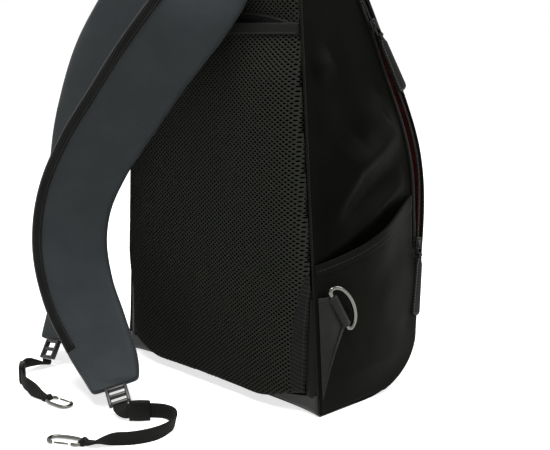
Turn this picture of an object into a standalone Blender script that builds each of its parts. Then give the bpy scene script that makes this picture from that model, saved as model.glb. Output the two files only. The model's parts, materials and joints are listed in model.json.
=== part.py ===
"""Racket backpack: a padded two-strap bag with a zipped front flap, side slip pockets,
a slip sleeve on its mesh back, and shoulder straps that clip to D-rings by snap hooks.

Metres, +Z up.  The origin is on the underside of the flat base.  The mesh back that lies
against the wearer faces -Y, the front flap faces +Y, and +X is the bag's right side.
"""
import math

import bmesh
import bpy
from mathutils import Matrix, Vector

# Bag body
PACK_HEIGHT = 0.480
BASE_WIDTH = 0.300
TOP_WIDTH = 0.232
TOP_CORNER_RADIUS = 0.070
BACK_Y = -0.045
BASE_FLAT_DEPTH = 0.068
FOOT_DEPTH = 0.152
FOOT_HEIGHT = 0.055
BELLY_DEPTH = 0.174
BELLY_HEIGHT = 0.205
SHOULDER_DEPTH = 0.098
SHOULDER_HEIGHT = 0.390
TOP_DEPTH = 0.040
FRONT_CROWN = 0.010
CROWN_FADE = 0.070
PANEL_THICKNESS = 0.003
LINING_THICKNESS = 0.0008
BACK_BOARD_THICKNESS = 0.003
BASE_BOARD_THICKNESS = 0.002
SEAM_GAP = 0.0003

# Back padding, outside the back board
SLEEVE_TOP = 0.372
SLEEVE_BOTTOM = 0.012
PAD_TOP = 0.4445
BACK_SIDE_MARGIN = 0.004
SLEEVE_GAP = 0.010
SLEEVE_THICKNESS = 0.004
SLEEVE_CROWN = 0.008
SLEEVE_EDGE = 0.012
PAD_THICKNESS = 0.0022
PAD_CROWN = 0.0055
PAD_BOTTOM = 0.3765
TAPE_WIDTH = 0.013
TAPE_THICKNESS = 0.0014
HEM_SHARE = 0.2
CROWN_SHOULDER = 0.9
BACK_COLUMNS = 8
BACK_ROWS = 7

# Racket compartment
DIVIDER_DEPTH = 0.026
DIVIDER_THICKNESS = 0.004
DIVIDER_TOP = 0.405

# Zip between the gusset and the front flap
HINGE_HEIGHT = 0.130
LINING_TURN_DROP = 0.018
FLAP_THICKNESS = 0.002
FLAP_TAPE_WIDTH = 0.0038
FLAP_SEW_GAP = 0.0010
BODY_TAPE_WIDTH = 0.0055
SETBACK_LOW = 0.0114
SETBACK_MIDDLE = 0.0170
SETBACK_TOP = 0.0124
SETBACK_FADE = 0.060
ZIP_TAPE_THICKNESS = 0.0012
ZIP_INSET = 0.0010
CLOSED_GAP = 0.0006
SLIDER_SPREAD = 0.0024
ZIP_GAPE = 0.0080
UPPER_SLIDER_DROP = 0.020
LOWER_SLIDER_RISE = 0.016
UPPER_SLIDER_HEIGHT = SHOULDER_HEIGHT - UPPER_SLIDER_DROP
LOWER_SLIDER_HEIGHT = HINGE_HEIGHT + LOWER_SLIDER_RISE

# Slider, wire link and leather pull
SLIDER_LENGTH = 0.012
SLIDER_BACK_WIDTH = 0.0044
SLIDER_FRONT_WIDTH = 0.0030
SLIDER_PLATE = 0.0014
SLIDER_CLEARANCE = 0.0005
SLIDER_NECK_WIDTH = 0.0014
SLIDER_NECK_LENGTH = 0.003
BAIL_HEIGHT = 0.0026
BAIL_THICKNESS = 0.0012
BAIL_WIDTH = 0.0022
BAIL_LENGTH = 0.0096
LINK_WIDTH = 0.0074
LINK_LENGTH = 0.012
LINK_WIRE = 0.0008
LINK_CORNER_SHARE = 0.6
PULL_LENGTH = 0.064
PULL_WIDTH = 0.0125
PULL_THICKNESS = 0.003
PULL_NECK_LENGTH = 0.0038
PULL_SHOULDER_LENGTH = 0.019
PULL_EYE_RADIUS = 0.0024
EYE_CLEARANCE = 0.0006

# Side slip pockets
POCKET_BACK_HEIGHT = 0.147
POCKET_FRONT_HEIGHT = 0.197
POCKET_MOUTH_SAG = 1.25
POCKET_BOTTOM = 0.004
POCKET_BULGE = 0.016
POCKET_FULLNESS = 1.3
POCKET_THICKNESS = 0.0016
POCKET_FRONT_MARGIN = 0.029
POCKET_FOOT_SHARE = 0.25
POCKET_FOOT_RISE = 0.2

# Wing tabs and D-rings
WING_TOP = 0.117
WING_BOTTOM = 0.018
WING_THICKNESS = 0.0024
RING_BAR_UPPER = (0.0085, 0.1208)
RING_BAR_LOWER = (0.0290, 0.0864)
RING_WIRE = 0.0021
RING_DEPTH = 0.0142
RING_TILT = math.radians(12)
RING_CORNER_MARGIN = 0.0045
LOOP_WALL = 0.0022
LOOP_CLEARANCE = 0.0005
WING_LIFT_SHARE = 0.55
WING_WAIST_SHARE = 0.25

# Shoulder straps and their webbing
STRAP_WIDTH = 0.080
STRAP_END_WIDTH = 0.046
STRAP_THICKNESS = 0.012
STRAP_SEWN_THICKNESS = 0.006
STRAP_TAPER_START = 0.7
STRAP_EDGE_SHARE = 0.4
WEBBING_WIDTH = 0.015
WEBBING_THICKNESS = 0.0018
ADJUSTER_LENGTH = 0.022
ADJUSTER_WIDTH = 0.022
ADJUSTER_THICKNESS = 0.006
ADJUSTER_EDGE_SHARE = 0.6
KEEPER_LENGTH = 0.020
KEEPER_WALL = 0.0014
KEEPER_CLEARANCE = 0.0011
HOOK_LENGTH = 0.034
HOOK_WIDTH = 0.014
HOOK_WIRE = 0.0022
HOOK_STUB_SHARE = 0.28
GATE_WIRE = 0.0013
GATE_GAP = 0.0007
STRAP_STEPS = 16
WEBBING_STEPS = 24
ANCHOR_THICKNESS = 0.0016
ANCHOR_TOP = 0.474

# Grab handle
HANDLE_SPAN = 0.090
HANDLE_RISE = 0.032
HANDLE_WIDTH = 0.018
HANDLE_THICKNESS = 0.004
HANDLE_EDGE_SHARE = 0.6

LEAN = (BASE_WIDTH - TOP_WIDTH) / 2 / PACK_HEIGHT
LEAN_STRETCH = math.sqrt(1 + LEAN * LEAN)
LEAN_ANGLE = math.atan(LEAN)
INNER_INSET = PANEL_THICKNESS + SEAM_GAP


def clear_scene():
    for existing in list(bpy.data.objects):
        bpy.data.objects.remove(existing, do_unlink=True)


def finish_material(name, colour, roughness, metallic=0.0):
    made = bpy.data.materials.new(name)
    made.use_nodes = True
    shader = made.node_tree.nodes["Principled BSDF"]
    shader.inputs["Base Color"].default_value = (*colour, 1.0)
    shader.inputs["Roughness"].default_value = roughness
    shader.inputs["Metallic"].default_value = metallic
    return made


def add_object(name, mesh_edit, colour, roughness, metallic=0.0, pivot=(0, 0, 0)):
    """Turn an edited mesh into a named object whose origin is at its pivot."""
    bmesh.ops.recalc_face_normals(mesh_edit, faces=mesh_edit.faces)
    bmesh.ops.translate(mesh_edit, verts=mesh_edit.verts, vec=-Vector(pivot))
    mesh = bpy.data.meshes.new(name)
    mesh_edit.to_mesh(mesh)
    mesh_edit.free()
    mesh.shade_smooth()
    mesh.set_sharp_from_angle(angle=math.radians(35))
    made = bpy.data.objects.new(name, mesh)
    made.location = pivot
    bpy.context.scene.collection.objects.link(made)
    mesh.materials.append(finish_material(name + "_finish", colour, roughness, metallic))
    return made


def steady_curve(stations, at):
    """Cubic through (position, value) stations that never overshoots them."""
    rises = [(b[1] - a[1]) / (b[0] - a[0]) for a, b in zip(stations, stations[1:])]
    slopes = [rises[0]]
    for before, after in zip(rises, rises[1:]):
        slopes.append(0.0 if before * after <= 0 else 2 * before * after / (before + after))
    slopes.append(rises[-1])
    at = min(max(at, stations[0][0]), stations[-1][0])
    index = 0
    while at > stations[index + 1][0]:
        index += 1
    (start, low), (end, high) = stations[index], stations[index + 1]
    span = end - start
    t = (at - start) / span
    return (
        low * (2 * t**3 - 3 * t**2 + 1)
        + high * (3 * t**2 - 2 * t**3)
        + span * slopes[index] * (t**3 - 2 * t**2 + t)
        + span * slopes[index + 1] * (t**3 - t**2)
    )


def profile_depth(z):
    """Depth of the bag, from its back seam to its front edge, at a height."""
    if z < FOOT_HEIGHT:
        rise = 1 - max(z, 0.0) / FOOT_HEIGHT
        return BASE_FLAT_DEPTH + (FOOT_DEPTH - BASE_FLAT_DEPTH) * math.sqrt(max(0.0, 1 - rise * rise))
    stations = (
        (FOOT_HEIGHT, FOOT_DEPTH),
        (BELLY_HEIGHT, BELLY_DEPTH),
        (SHOULDER_HEIGHT, SHOULDER_DEPTH),
        (PACK_HEIGHT, TOP_DEPTH),
    )
    return steady_curve(stations, z)


def side_x(z, inset=0.0):
    return BASE_WIDTH / 2 - LEAN * z - inset * LEAN_STRETCH


ARCH_CENTRE_Z = PACK_HEIGHT - TOP_CORNER_RADIUS
ARCH_CENTRE_X = side_x(ARCH_CENTRE_Z, TOP_CORNER_RADIUS)
ARC_SWEEP = math.pi / 2 - LEAN_ANGLE
ARC_STEPS = 6


def arch_start(inset=0.0):
    """Height where the straight side turns into the top corner's arc."""
    return ARCH_CENTRE_Z + (TOP_CORNER_RADIUS - inset) * math.sin(LEAN_ANGLE)


def outline_point(share, low, inset=0.0):
    """Point (x, z) on the bag's outline, from low on the right over the top to low on the left."""
    if share > 0.5:
        x, z = outline_point(1 - share, low, inset)
        return -x, z
    radius = TOP_CORNER_RADIUS - inset
    straight = (arch_start(inset) - low) * LEAN_STRETCH
    arc = radius * ARC_SWEEP
    along = 2 * share * (straight + arc + ARCH_CENTRE_X)
    if along < straight:
        z = low + along / LEAN_STRETCH
        return side_x(z, inset), z
    if along < straight + arc:
        angle = LEAN_ANGLE + (along - straight) / radius
        return ARCH_CENTRE_X + radius * math.cos(angle), ARCH_CENTRE_Z + radius * math.sin(angle)
    return max(0.0, ARCH_CENTRE_X - (along - straight - arc)), ARCH_CENTRE_Z + radius


def outline_shares(low, inset, straight_steps, top_steps):
    """Shares along the outline that put a point at each turn of it."""
    radius = TOP_CORNER_RADIUS - inset
    straight = (arch_start(inset) - low) * LEAN_STRETCH
    arc = radius * ARC_SWEEP
    whole = straight + arc + ARCH_CENTRE_X
    half = [straight * i / straight_steps for i in range(straight_steps)]
    half += [straight + arc * i / ARC_STEPS for i in range(ARC_STEPS)]
    half += [straight + arc + ARCH_CENTRE_X * i / top_steps for i in range(top_steps)]
    rising = [along / whole / 2 for along in half]
    return rising + [0.5] + [1 - share for share in reversed(rising)]


def chain_gap(z, right):
    """Gap between the two half chains: the right side is unzipped between its sliders."""
    if not right:
        return CLOSED_GAP
    if LOWER_SLIDER_HEIGHT <= z <= UPPER_SLIDER_HEIGHT:
        share = (z - LOWER_SLIDER_HEIGHT) / (UPPER_SLIDER_HEIGHT - LOWER_SLIDER_HEIGHT)
        return CLOSED_GAP + SLIDER_SPREAD + (ZIP_GAPE - SLIDER_SPREAD) * math.sin(math.pi * share)
    away = min(abs(z - LOWER_SLIDER_HEIGHT), abs(z - UPPER_SLIDER_HEIGHT))
    return CLOSED_GAP + SLIDER_SPREAD * max(0.0, 1 - away / (2 * SLIDER_LENGTH))


def zip_setback(z):
    """How far the gusset's half chain lies behind the bag's front edge: most between the sliders."""
    stations = (
        (HINGE_HEIGHT, SETBACK_LOW),
        (LOWER_SLIDER_HEIGHT + SETBACK_FADE, SETBACK_MIDDLE),
        (UPPER_SLIDER_HEIGHT - SETBACK_FADE, SETBACK_MIDDLE),
        (UPPER_SLIDER_HEIGHT, SETBACK_TOP),
        (PACK_HEIGHT, SETBACK_TOP),
    )
    return steady_curve(stations, z)


def chain_depth(z, right):
    """Depth of the flap's half chain."""
    return profile_depth(z) - zip_setback(z) + chain_gap(z, right)


def flap_return(z, right):
    """Width of the flap's turned edge, which the open zip rolls outward."""
    return zip_setback(z) - chain_gap(z, right) - FLAP_TAPE_WIDTH - FLAP_SEW_GAP


def gusset_depth(z):
    """Depth of the gusset's front edge, where its zip tape is sewn."""
    return profile_depth(z) - zip_setback(z) - BODY_TAPE_WIDTH - SEAM_GAP


def grid(columns, rows, place, sign=1):
    """A sheet of faces laid out by place(u, v), mirrored in X for sign -1."""
    edit = bmesh.new()
    bmesh.ops.create_grid(edit, x_segments=columns, y_segments=rows, size=0.5)
    for vert in edit.verts:
        x, y, z = place(vert.co.x + 0.5, vert.co.y + 0.5)
        vert.co = (sign * x, y, z)
    return edit


def thicken(made, thickness, towards):
    """Give a sheet its thickness on the side that a direction points to."""
    normal_sum = Vector()
    for face in made.data.polygons:
        normal_sum += face.normal * face.area
    wall = made.modifiers.new("thickness", "SOLIDIFY")
    wall.thickness = thickness
    wall.offset = 1.0 if normal_sum.dot(Vector(towards)) > 0 else -1.0
    wall.use_even_offset = True
    return made


def sweep(edit, rings):
    """A closed solid through a row of rings of points."""
    loops = []
    for ring in rings:
        verts = [edit.verts.new(point) for point in ring]
        loops.append([edit.edges.new((a, b)) for a, b in zip(verts, verts[1:] + verts[:1])])
    for low, high in zip(loops, loops[1:]):
        bmesh.ops.bridge_loops(edit, edges=low + high)
    for end in (loops[0], loops[-1]):
        bmesh.ops.contextual_create(edit, geom=end)
    return edit


def box(edit, centre, size, turn=None):
    made = bmesh.ops.create_cube(edit, size=1.0)["verts"]
    bmesh.ops.scale(edit, verts=made, vec=size)
    if turn is not None:
        bmesh.ops.rotate(edit, verts=made, cent=(0, 0, 0), matrix=turn)
    bmesh.ops.translate(edit, verts=made, vec=centre)
    return made


def boolean(target, tool, operation):
    """Cut or join with a hidden tool object."""
    cut = target.modifiers.new(operation.lower(), "BOOLEAN")
    cut.operation = operation
    cut.object = tool
    tool.hide_render = True
    tool.display_type = "WIRE"


# Fabric panels of the bag body

BLACK_TWILL = (0.006, 0.007, 0.006)
BLACK_MESH = (0.018, 0.019, 0.017)
COATED_BLACK = (0.012, 0.012, 0.011)
LINING_RED = (0.060, 0.011, 0.010)
TAPE_BLACK = (0.017, 0.018, 0.017)
GUNMETAL = (0.14, 0.14, 0.135)
LEATHER_BLACK = (0.022, 0.022, 0.020)
HARD_BLACK = (0.010, 0.010, 0.010)


def side_panel(name, right):
    """Flat gusset side from the base to the top corner, stepped back above the zip's end."""
    rows_below, rows_above = 7, 9
    top = arch_start() - 3 * SEAM_GAP
    step = SEAM_GAP
    foot = 2 * SEAM_GAP
    heights = [foot + (HINGE_HEIGHT - foot) * (i / rows_below) ** 1.6 for i in range(rows_below)]
    heights += [HINGE_HEIGHT - step]
    heights += [HINGE_HEIGHT + (top - HINGE_HEIGHT) * i / rows_above for i in range(rows_above + 1)]

    def place(u, v):
        z = heights[round(v * (len(heights) - 1))]
        front = profile_depth(z) if z < HINGE_HEIGHT else gusset_depth(z)
        return side_x(z), BACK_Y + front * u, z

    edit = grid(3, len(heights) - 1, place, 1 if right else -1)
    made = add_object(name, edit, BLACK_TWILL, 0.55)
    return thicken(made, PANEL_THICKNESS, (-1 if right else 1, 0, 0))


def top_panel():
    """Narrow gusset over the top, between the two side panels."""
    low = arch_start()
    shares = outline_shares(low, 0.0, 0, 3)

    def place(u, v):
        x, z = outline_point(shares[round(v * (len(shares) - 1))], low)
        return x, BACK_Y + gusset_depth(z) * u, z

    edit = grid(1, len(shares) - 1, place)
    made = add_object("top_panel", edit, BLACK_TWILL, 0.55)
    return thicken(made, PANEL_THICKNESS, (0, 0, -1))


def outline_plate(low, inset, height_limit=None):
    """Face in the XZ plane inside the bag's outline, at Y = 0."""
    edit = bmesh.new()
    points = [outline_point(share, low, inset) for share in outline_shares(low, inset, 1, 1)]
    if height_limit is not None:
        points = [(x, min(z, height_limit)) for x, z in points]
    loop = []
    for x, z in points:
        if not loop or (Vector((x, 0, z)) - loop[-1].co).length > SEAM_GAP:
            loop.append(edit.verts.new((x, 0, z)))
    edit.faces.new(loop)
    return edit


def extrude_y(edit, start, thickness):
    bmesh.ops.translate(edit, verts=edit.verts, vec=(0, start, 0))
    grown = bmesh.ops.extrude_face_region(edit, geom=list(edit.faces))
    verts = [item for item in grown["geom"] if isinstance(item, bmesh.types.BMVert)]
    bmesh.ops.translate(edit, verts=verts, vec=(0, thickness, 0))
    return edit


def back_board():
    """Stiffener behind the mesh, inside the gusset."""
    edit = outline_plate(INNER_INSET, INNER_INSET)
    extrude_y(edit, BACK_Y, BACK_BOARD_THICKNESS)
    return add_object("back_board", edit, HARD_BLACK, 0.5)


def bottom_panel():
    """Flat coated sole between the side panels."""
    half = side_x(PANEL_THICKNESS, INNER_INSET)
    edit = bmesh.new()
    back = BACK_Y
    depth = BASE_FLAT_DEPTH - SEAM_GAP
    box(edit, (0, back + depth / 2, PANEL_THICKNESS / 2), (2 * half, depth, PANEL_THICKNESS))
    return add_object("bottom_panel", edit, COATED_BLACK, 0.4)


def front_lower_panel():
    """Fixed front below the flap: it rounds up from the sole to the hinge seam."""
    corner_steps, rise_steps = 6, 3
    top = HINGE_HEIGHT - SEAM_GAP
    route = []
    for i in range(corner_steps + 1):
        angle = math.pi / 2 * i / corner_steps
        depth = BASE_FLAT_DEPTH + (FOOT_DEPTH - BASE_FLAT_DEPTH) * math.sin(angle)
        route.append((depth, FOOT_HEIGHT * (1 - math.cos(angle))))
    for i in range(1, rise_steps + 1):
        z = FOOT_HEIGHT + (top - FOOT_HEIGHT) * i / rise_steps
        route.append((profile_depth(z), z))

    def place(u, v):
        depth, z = route[round(v * (len(route) - 1))]
        half = side_x(z, INNER_INSET)
        x = half * (2 * u - 1)
        return x, BACK_Y + depth + front_crown(x, z), z

    edit = grid(6, len(route) - 1, place)
    made = add_object("front_lower_panel", edit, BLACK_TWILL, 0.55)
    return thicken(made, PANEL_THICKNESS, (0, -1, 0.3))


def front_crown(x, z):
    """How far the filled front bulges past the bag's front edge."""
    across = max(0.0, 1 - (x / side_x(z)) ** 2)
    below = min(1.0, max(0.0, z) / FOOT_HEIGHT)
    above = min(1.0, (PACK_HEIGHT - z) / CROWN_FADE)
    return FRONT_CROWN * across * below * max(0.0, above)


def flap_front(u, v, low):
    """Point (x, z) on the flap's front: a grid whose sides follow the arched outline."""
    corner = outline_corner(low)
    right = outline_point(corner * v, low)
    top = outline_point(corner + (1 - 2 * corner) * (1 - u), low)
    foot = side_x(low)
    high_x, high_z = outline_point(corner, low)
    across = 2 * u - 1
    x = across * right[0] + (1 - v) * foot * across + v * top[0]
    x -= across * ((1 - v) * foot + v * high_x)
    z = right[1] + (1 - v) * low + v * top[1] - ((1 - v) * low + v * high_z)
    return x, z


def outline_corner(low):
    """Share of the outline at the middle of its right top arc."""
    straight = (arch_start() - low) * LEAN_STRETCH
    arc = TOP_CORNER_RADIUS * ARC_SWEEP
    return (straight + arc / 2) / (straight + arc + ARCH_CENTRE_X) / 2


def flap_tray(name, inset, thickness, colour, roughness, pivot):
    """Crowned front face with a narrow return along its sides and top."""
    low = HINGE_HEIGHT + SEAM_GAP

    def place(u, v):
        x, z = flap_front(u, v, low)
        return x, BACK_Y + profile_depth(z) + front_crown(x, z), z

    edit = grid(10, 13, place)
    edge = [item for item in edit.edges if item.is_boundary]
    rim = [item for item in edge if max(vert.co.z for vert in item.verts) > low + SEAM_GAP]
    grown = bmesh.ops.extrude_edge_only(edit, edges=rim)
    for item in grown["geom"]:
        if isinstance(item, bmesh.types.BMVert):
            item.co.y = BACK_Y + profile_depth(item.co.z) - flap_return(item.co.z, item.co.x > 0)
    bmesh.ops.recalc_face_normals(edit, faces=edit.faces)
    edit.normal_update()
    way = -inset if sum(face.normal.y for face in edit.faces) > 0 else inset
    moves = [(vert, vert.normal * vert.calc_shell_factor() * way) for vert in edit.verts]
    for vert, move in moves:
        vert.co += move
    made = add_object(name, edit, colour, roughness, pivot=pivot)
    return thicken(made, thickness, (0, -1, 0))


def zip_tape(name, body_side, pivot=(0, 0, 0)):
    """One tape of the zip, from the lower right end over the top to the lower left end."""
    low = HINGE_HEIGHT + SEAM_GAP
    shares = outline_shares(low, ZIP_INSET, 14, 3)

    def place(u, v):
        share = shares[round(v * (len(shares) - 1))]
        x, z = outline_point(share, low, ZIP_INSET)
        right = share < 0.5
        if body_side:
            start = gusset_depth(z) + SEAM_GAP
            end = start + BODY_TAPE_WIDTH
        else:
            start = chain_depth(z, right)
            end = start + FLAP_TAPE_WIDTH
        return x, BACK_Y + start + (end - start) * u, z

    edit = grid(1, len(shares) - 1, place)
    made = add_object(name, edit, TAPE_BLACK, 0.7, pivot=pivot)
    return thicken(made, ZIP_TAPE_THICKNESS, (0, 0, -1))


def body_lining():
    """Red lining on the inside of the board, sides, base and top."""
    inset = INNER_INSET + SEAM_GAP
    low = PANEL_THICKNESS + 2 * SEAM_GAP + BASE_BOARD_THICKNESS + LINING_THICKNESS
    back = BACK_BOARD_THICKNESS + SEAM_GAP
    edit = bmesh.new()
    shares = outline_shares(low, inset, 8, 2)
    loop = [outline_point(share, low, inset) for share in shares]
    edit.faces.new([edit.verts.new((x, BACK_Y + back, z)) for x, z in loop])
    edges = [item for item in edit.edges]
    grown = bmesh.ops.extrude_edge_only(edit, edges=edges)
    for item in grown["geom"]:
        if isinstance(item, bmesh.types.BMVert):
            item.co.y = BACK_Y + lining_depth(item.co.z, low)
    made = add_object("body_lining", edit, LINING_RED, 0.6)
    return thicken(made, LINING_THICKNESS, (0, 1, 0))


def lining_depth(z, low):
    """Depth of the lining's front edge, which turns back to the gusset below the lower slider."""
    if z <= low + SEAM_GAP:
        return BASE_FLAT_DEPTH
    if z < HINGE_HEIGHT - LINING_TURN_DROP:
        return profile_depth(z) - 2 * PANEL_THICKNESS
    return gusset_depth(z) - SEAM_GAP


def bottom_board():
    """Base stiffener that lies on the sole."""
    half = side_x(PANEL_THICKNESS + BASE_BOARD_THICKNESS, INNER_INSET + SEAM_GAP)
    start = BACK_Y + BACK_BOARD_THICKNESS + SEAM_GAP
    depth = BASE_FLAT_DEPTH - BACK_BOARD_THICKNESS - 2 * SEAM_GAP
    centre = (0, start + depth / 2, PANEL_THICKNESS + SEAM_GAP + BASE_BOARD_THICKNESS / 2)
    edit = bmesh.new()
    box(edit, centre, (2 * half, depth, BASE_BOARD_THICKNESS))
    return add_object("bottom_board", edit, HARD_BLACK, 0.6)


def racket_divider():
    """Padded sheet that keeps the racket against the back, sewn in at the base."""
    low = PANEL_THICKNESS + 3 * SEAM_GAP + BASE_BOARD_THICKNESS + 2 * LINING_THICKNESS
    edit = outline_plate(low, INNER_INSET + 2 * SEAM_GAP + LINING_THICKNESS, DIVIDER_TOP)
    extrude_y(edit, BACK_Y + DIVIDER_DEPTH, DIVIDER_THICKNESS)
    return add_object("racket_divider", edit, LINING_RED, 0.7)


# Mesh back

def back_out(back, u, z):
    """Distance of a mesh pad's face out from the back seam: crowned, and flatter at its taped hem."""
    bottom, top, standoff, thickness, crown, hem = back
    share = (z - bottom) / (top - bottom)
    lower_end, upper_end = (HEM_SHARE, 0.0) if hem == bottom else (0.0, HEM_SHARE)
    stations = (
        (0.0, lower_end),
        (0.25, CROWN_SHOULDER),
        (0.5, 1.0),
        (0.75, CROWN_SHOULDER),
        (1.0, upper_end),
    )
    rise = steady_curve(stations, share)
    if abs(z - hem) < TAPE_WIDTH + SEAM_GAP:
        rise = HEM_SHARE
    return SEAM_GAP + standoff + thickness + crown * rise * math.sin(math.pi * u) ** 0.6


def padded_back(name, back):
    """Mesh pad on the back board: thin at its sewn edges and crowned between them."""
    bottom, top, standoff, _, _, hem = back
    heights = [bottom + (top - bottom) * i / BACK_ROWS for i in range(BACK_ROWS + 1)]
    heights.append(hem + TAPE_WIDTH if hem == bottom else hem - TAPE_WIDTH)
    heights.sort()

    def outer(u, v):
        z = heights[round(v * (len(heights) - 1))]
        return back_half(z) * (2 * u - 1), BACK_Y - back_out(back, u, z), z

    edit = grid(BACK_COLUMNS, len(heights) - 1, outer)
    rim = [item for item in edit.edges if item.is_boundary]
    grown = bmesh.ops.extrude_edge_only(edit, edges=rim)
    for item in grown["geom"]:
        if isinstance(item, bmesh.types.BMVert):
            item.co.y = BACK_Y - SEAM_GAP - standoff
    bmesh.ops.holes_fill(edit, edges=[item for item in edit.edges if item.is_boundary])
    return add_object(name, edit, BLACK_MESH, 0.85)


def hem_tape(name, back):
    """Herringbone tape sewn over a pad's free hem."""
    bottom, *_, hem = back
    low = hem if hem == bottom else hem - TAPE_WIDTH

    def place(u, v):
        z = low + TAPE_WIDTH * v
        return back_half(z) * (2 * u - 1), BACK_Y - back_out(back, u, z) - SEAM_GAP, z

    made = add_object(name, grid(BACK_COLUMNS, 1, place), TAPE_BLACK, 0.75)
    return thicken(made, TAPE_THICKNESS, (0, -1, 0))


def back_half(z):
    """Half width of the mesh back at a height, rounded in under the top corners."""
    inset = BACK_SIDE_MARGIN
    if z <= arch_start(inset):
        return side_x(z, inset)
    radius = TOP_CORNER_RADIUS - inset
    rise = min(z - ARCH_CENTRE_Z, radius)
    return ARCH_CENTRE_X + math.sqrt(max(0.0, radius * radius - rise * rise))


def sleeve_side(name, right):
    """Folded side of the slip sleeve that carries it off the board."""

    def place(u, v):
        z = SLEEVE_BOTTOM + (SLEEVE_TOP - SLEEVE_BOTTOM) * v
        return back_half(z) - SLEEVE_EDGE * (1 - u), BACK_Y - SEAM_GAP, z

    edit = grid(1, 4, place, 1 if right else -1)
    made = add_object(name, edit, COATED_BLACK, 0.5)
    return thicken(made, SLEEVE_GAP - SEAM_GAP, (0, -1, 0))


def sleeve_foot():
    """Sewn foot that closes the slip sleeve at its lower edge."""
    half = back_half(SLEEVE_BOTTOM + SLEEVE_EDGE) - SLEEVE_EDGE - SEAM_GAP
    depth = SLEEVE_GAP - SEAM_GAP
    centre = (0, BACK_Y - SEAM_GAP - depth / 2, SLEEVE_BOTTOM + SLEEVE_EDGE / 2)
    edit = bmesh.new()
    box(edit, centre, (2 * half, depth, SLEEVE_EDGE))
    return add_object("sleeve_foot", edit, COATED_BLACK, 0.5)


# Side slip pockets, wing tabs and rings

def pocket_mouth(depth):
    share = (depth / (BELLY_DEPTH - POCKET_FRONT_MARGIN)) ** POCKET_MOUTH_SAG
    return POCKET_BACK_HEIGHT + (POCKET_FRONT_HEIGHT - POCKET_BACK_HEIGHT) * share


def pocket_front(z):
    """Depth of the pocket's sewn front edge."""
    return profile_depth(max(z, FOOT_HEIGHT)) - POCKET_FRONT_MARGIN


def pocket_stand(u, v):
    """How far the slack pocket stands off the side panel: most at its mouth."""
    across = math.sin(math.pi * u) ** POCKET_FULLNESS
    upward = POCKET_FOOT_SHARE + (1 - POCKET_FOOT_SHARE) * v
    return POCKET_BULGE * across * upward * min(1.0, v / POCKET_FOOT_RISE)


def side_pocket(name, right):
    """Slip pocket sewn along its back, foot and front, and slack at its slanted mouth."""

    def place(u, v):
        depth = pocket_front(0.5 * POCKET_FRONT_HEIGHT) * u
        z = POCKET_BOTTOM + (pocket_mouth(depth) - POCKET_BOTTOM) * v
        low_front = profile_depth(z) - 2 * PANEL_THICKNESS
        depth = min(pocket_front(z), low_front) * u
        return side_x(z, -SEAM_GAP) + pocket_stand(u, v), BACK_Y + depth, z

    edit = grid(8, 7, place, 1 if right else -1)
    made = add_object(name, edit, BLACK_TWILL, 0.5)
    return thicken(made, POCKET_THICKNESS, (1 if right else -1, 0, 0))


def side_point(depth, z, stand):
    """Point over the right side panel, at a depth and height and off it by stand."""
    return Vector((side_x(z, -stand), BACK_Y + depth, z))


def ring_frame():
    """Middle of the ring's bar, with the bar, reach and outward directions (right side)."""
    stand = POCKET_BULGE * WING_LIFT_SHARE + RING_WIRE + LOOP_WALL + LOOP_CLEARANCE
    upper = side_point(*RING_BAR_UPPER, stand)
    lower = side_point(*RING_BAR_LOWER, stand)
    bar = (lower - upper).normalized()
    outward = Vector((1, 0, LEAN)).normalized()
    reach = bar.cross(outward).normalized()
    if reach.y < 0:
        reach = -reach
    outward = reach.cross(bar)
    if outward.x < 0:
        outward = -outward
    return (upper + lower) / 2, bar, reach, outward, (lower - upper).length


def mirrored(point, right):
    return Vector((point[0] if right else -point[0], point[1], point[2]))


def d_ring(name, right):
    """Round-wire D-ring: a straight bar and a bow, turning on the bar in its loop."""
    middle, bar, reach, outward, length = ring_frame()
    half = length / 2 + LOOP_CLEARANCE + RING_WIRE
    lift = math.cos(RING_TILT) * reach + math.sin(RING_TILT) * outward
    points = []
    for i in range(5):
        points.append(middle + bar * half * (2 * i / 4 - 1))
    bow_steps = 12
    for i in range(bow_steps + 1):
        angle = math.pi * i / bow_steps
        side = bar * (half + RING_CORNER_MARGIN - RING_WIRE) * math.cos(angle)
        rise = lift * (RING_CORNER_MARGIN / 2 + RING_DEPTH * math.sin(angle))
        points.append(middle + side + rise)
    pivot = mirrored(middle, right)
    curve = bpy.data.curves.new(name, "CURVE")
    curve.dimensions = "3D"
    curve.bevel_depth = RING_WIRE
    curve.bevel_resolution = 2
    spline = curve.splines.new("POLY")
    spline.points.add(len(points) - 1)
    for slot, point in zip(spline.points, points):
        slot.co = (*(mirrored(point, right) - pivot), 1.0)
    spline.use_cyclic_u = True
    made = bpy.data.objects.new(name, curve)
    made.location = pivot
    bpy.context.scene.collection.objects.link(made)
    curve.materials.append(finish_material(name + "_finish", GUNMETAL, 0.18, 1.0))
    return made


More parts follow.
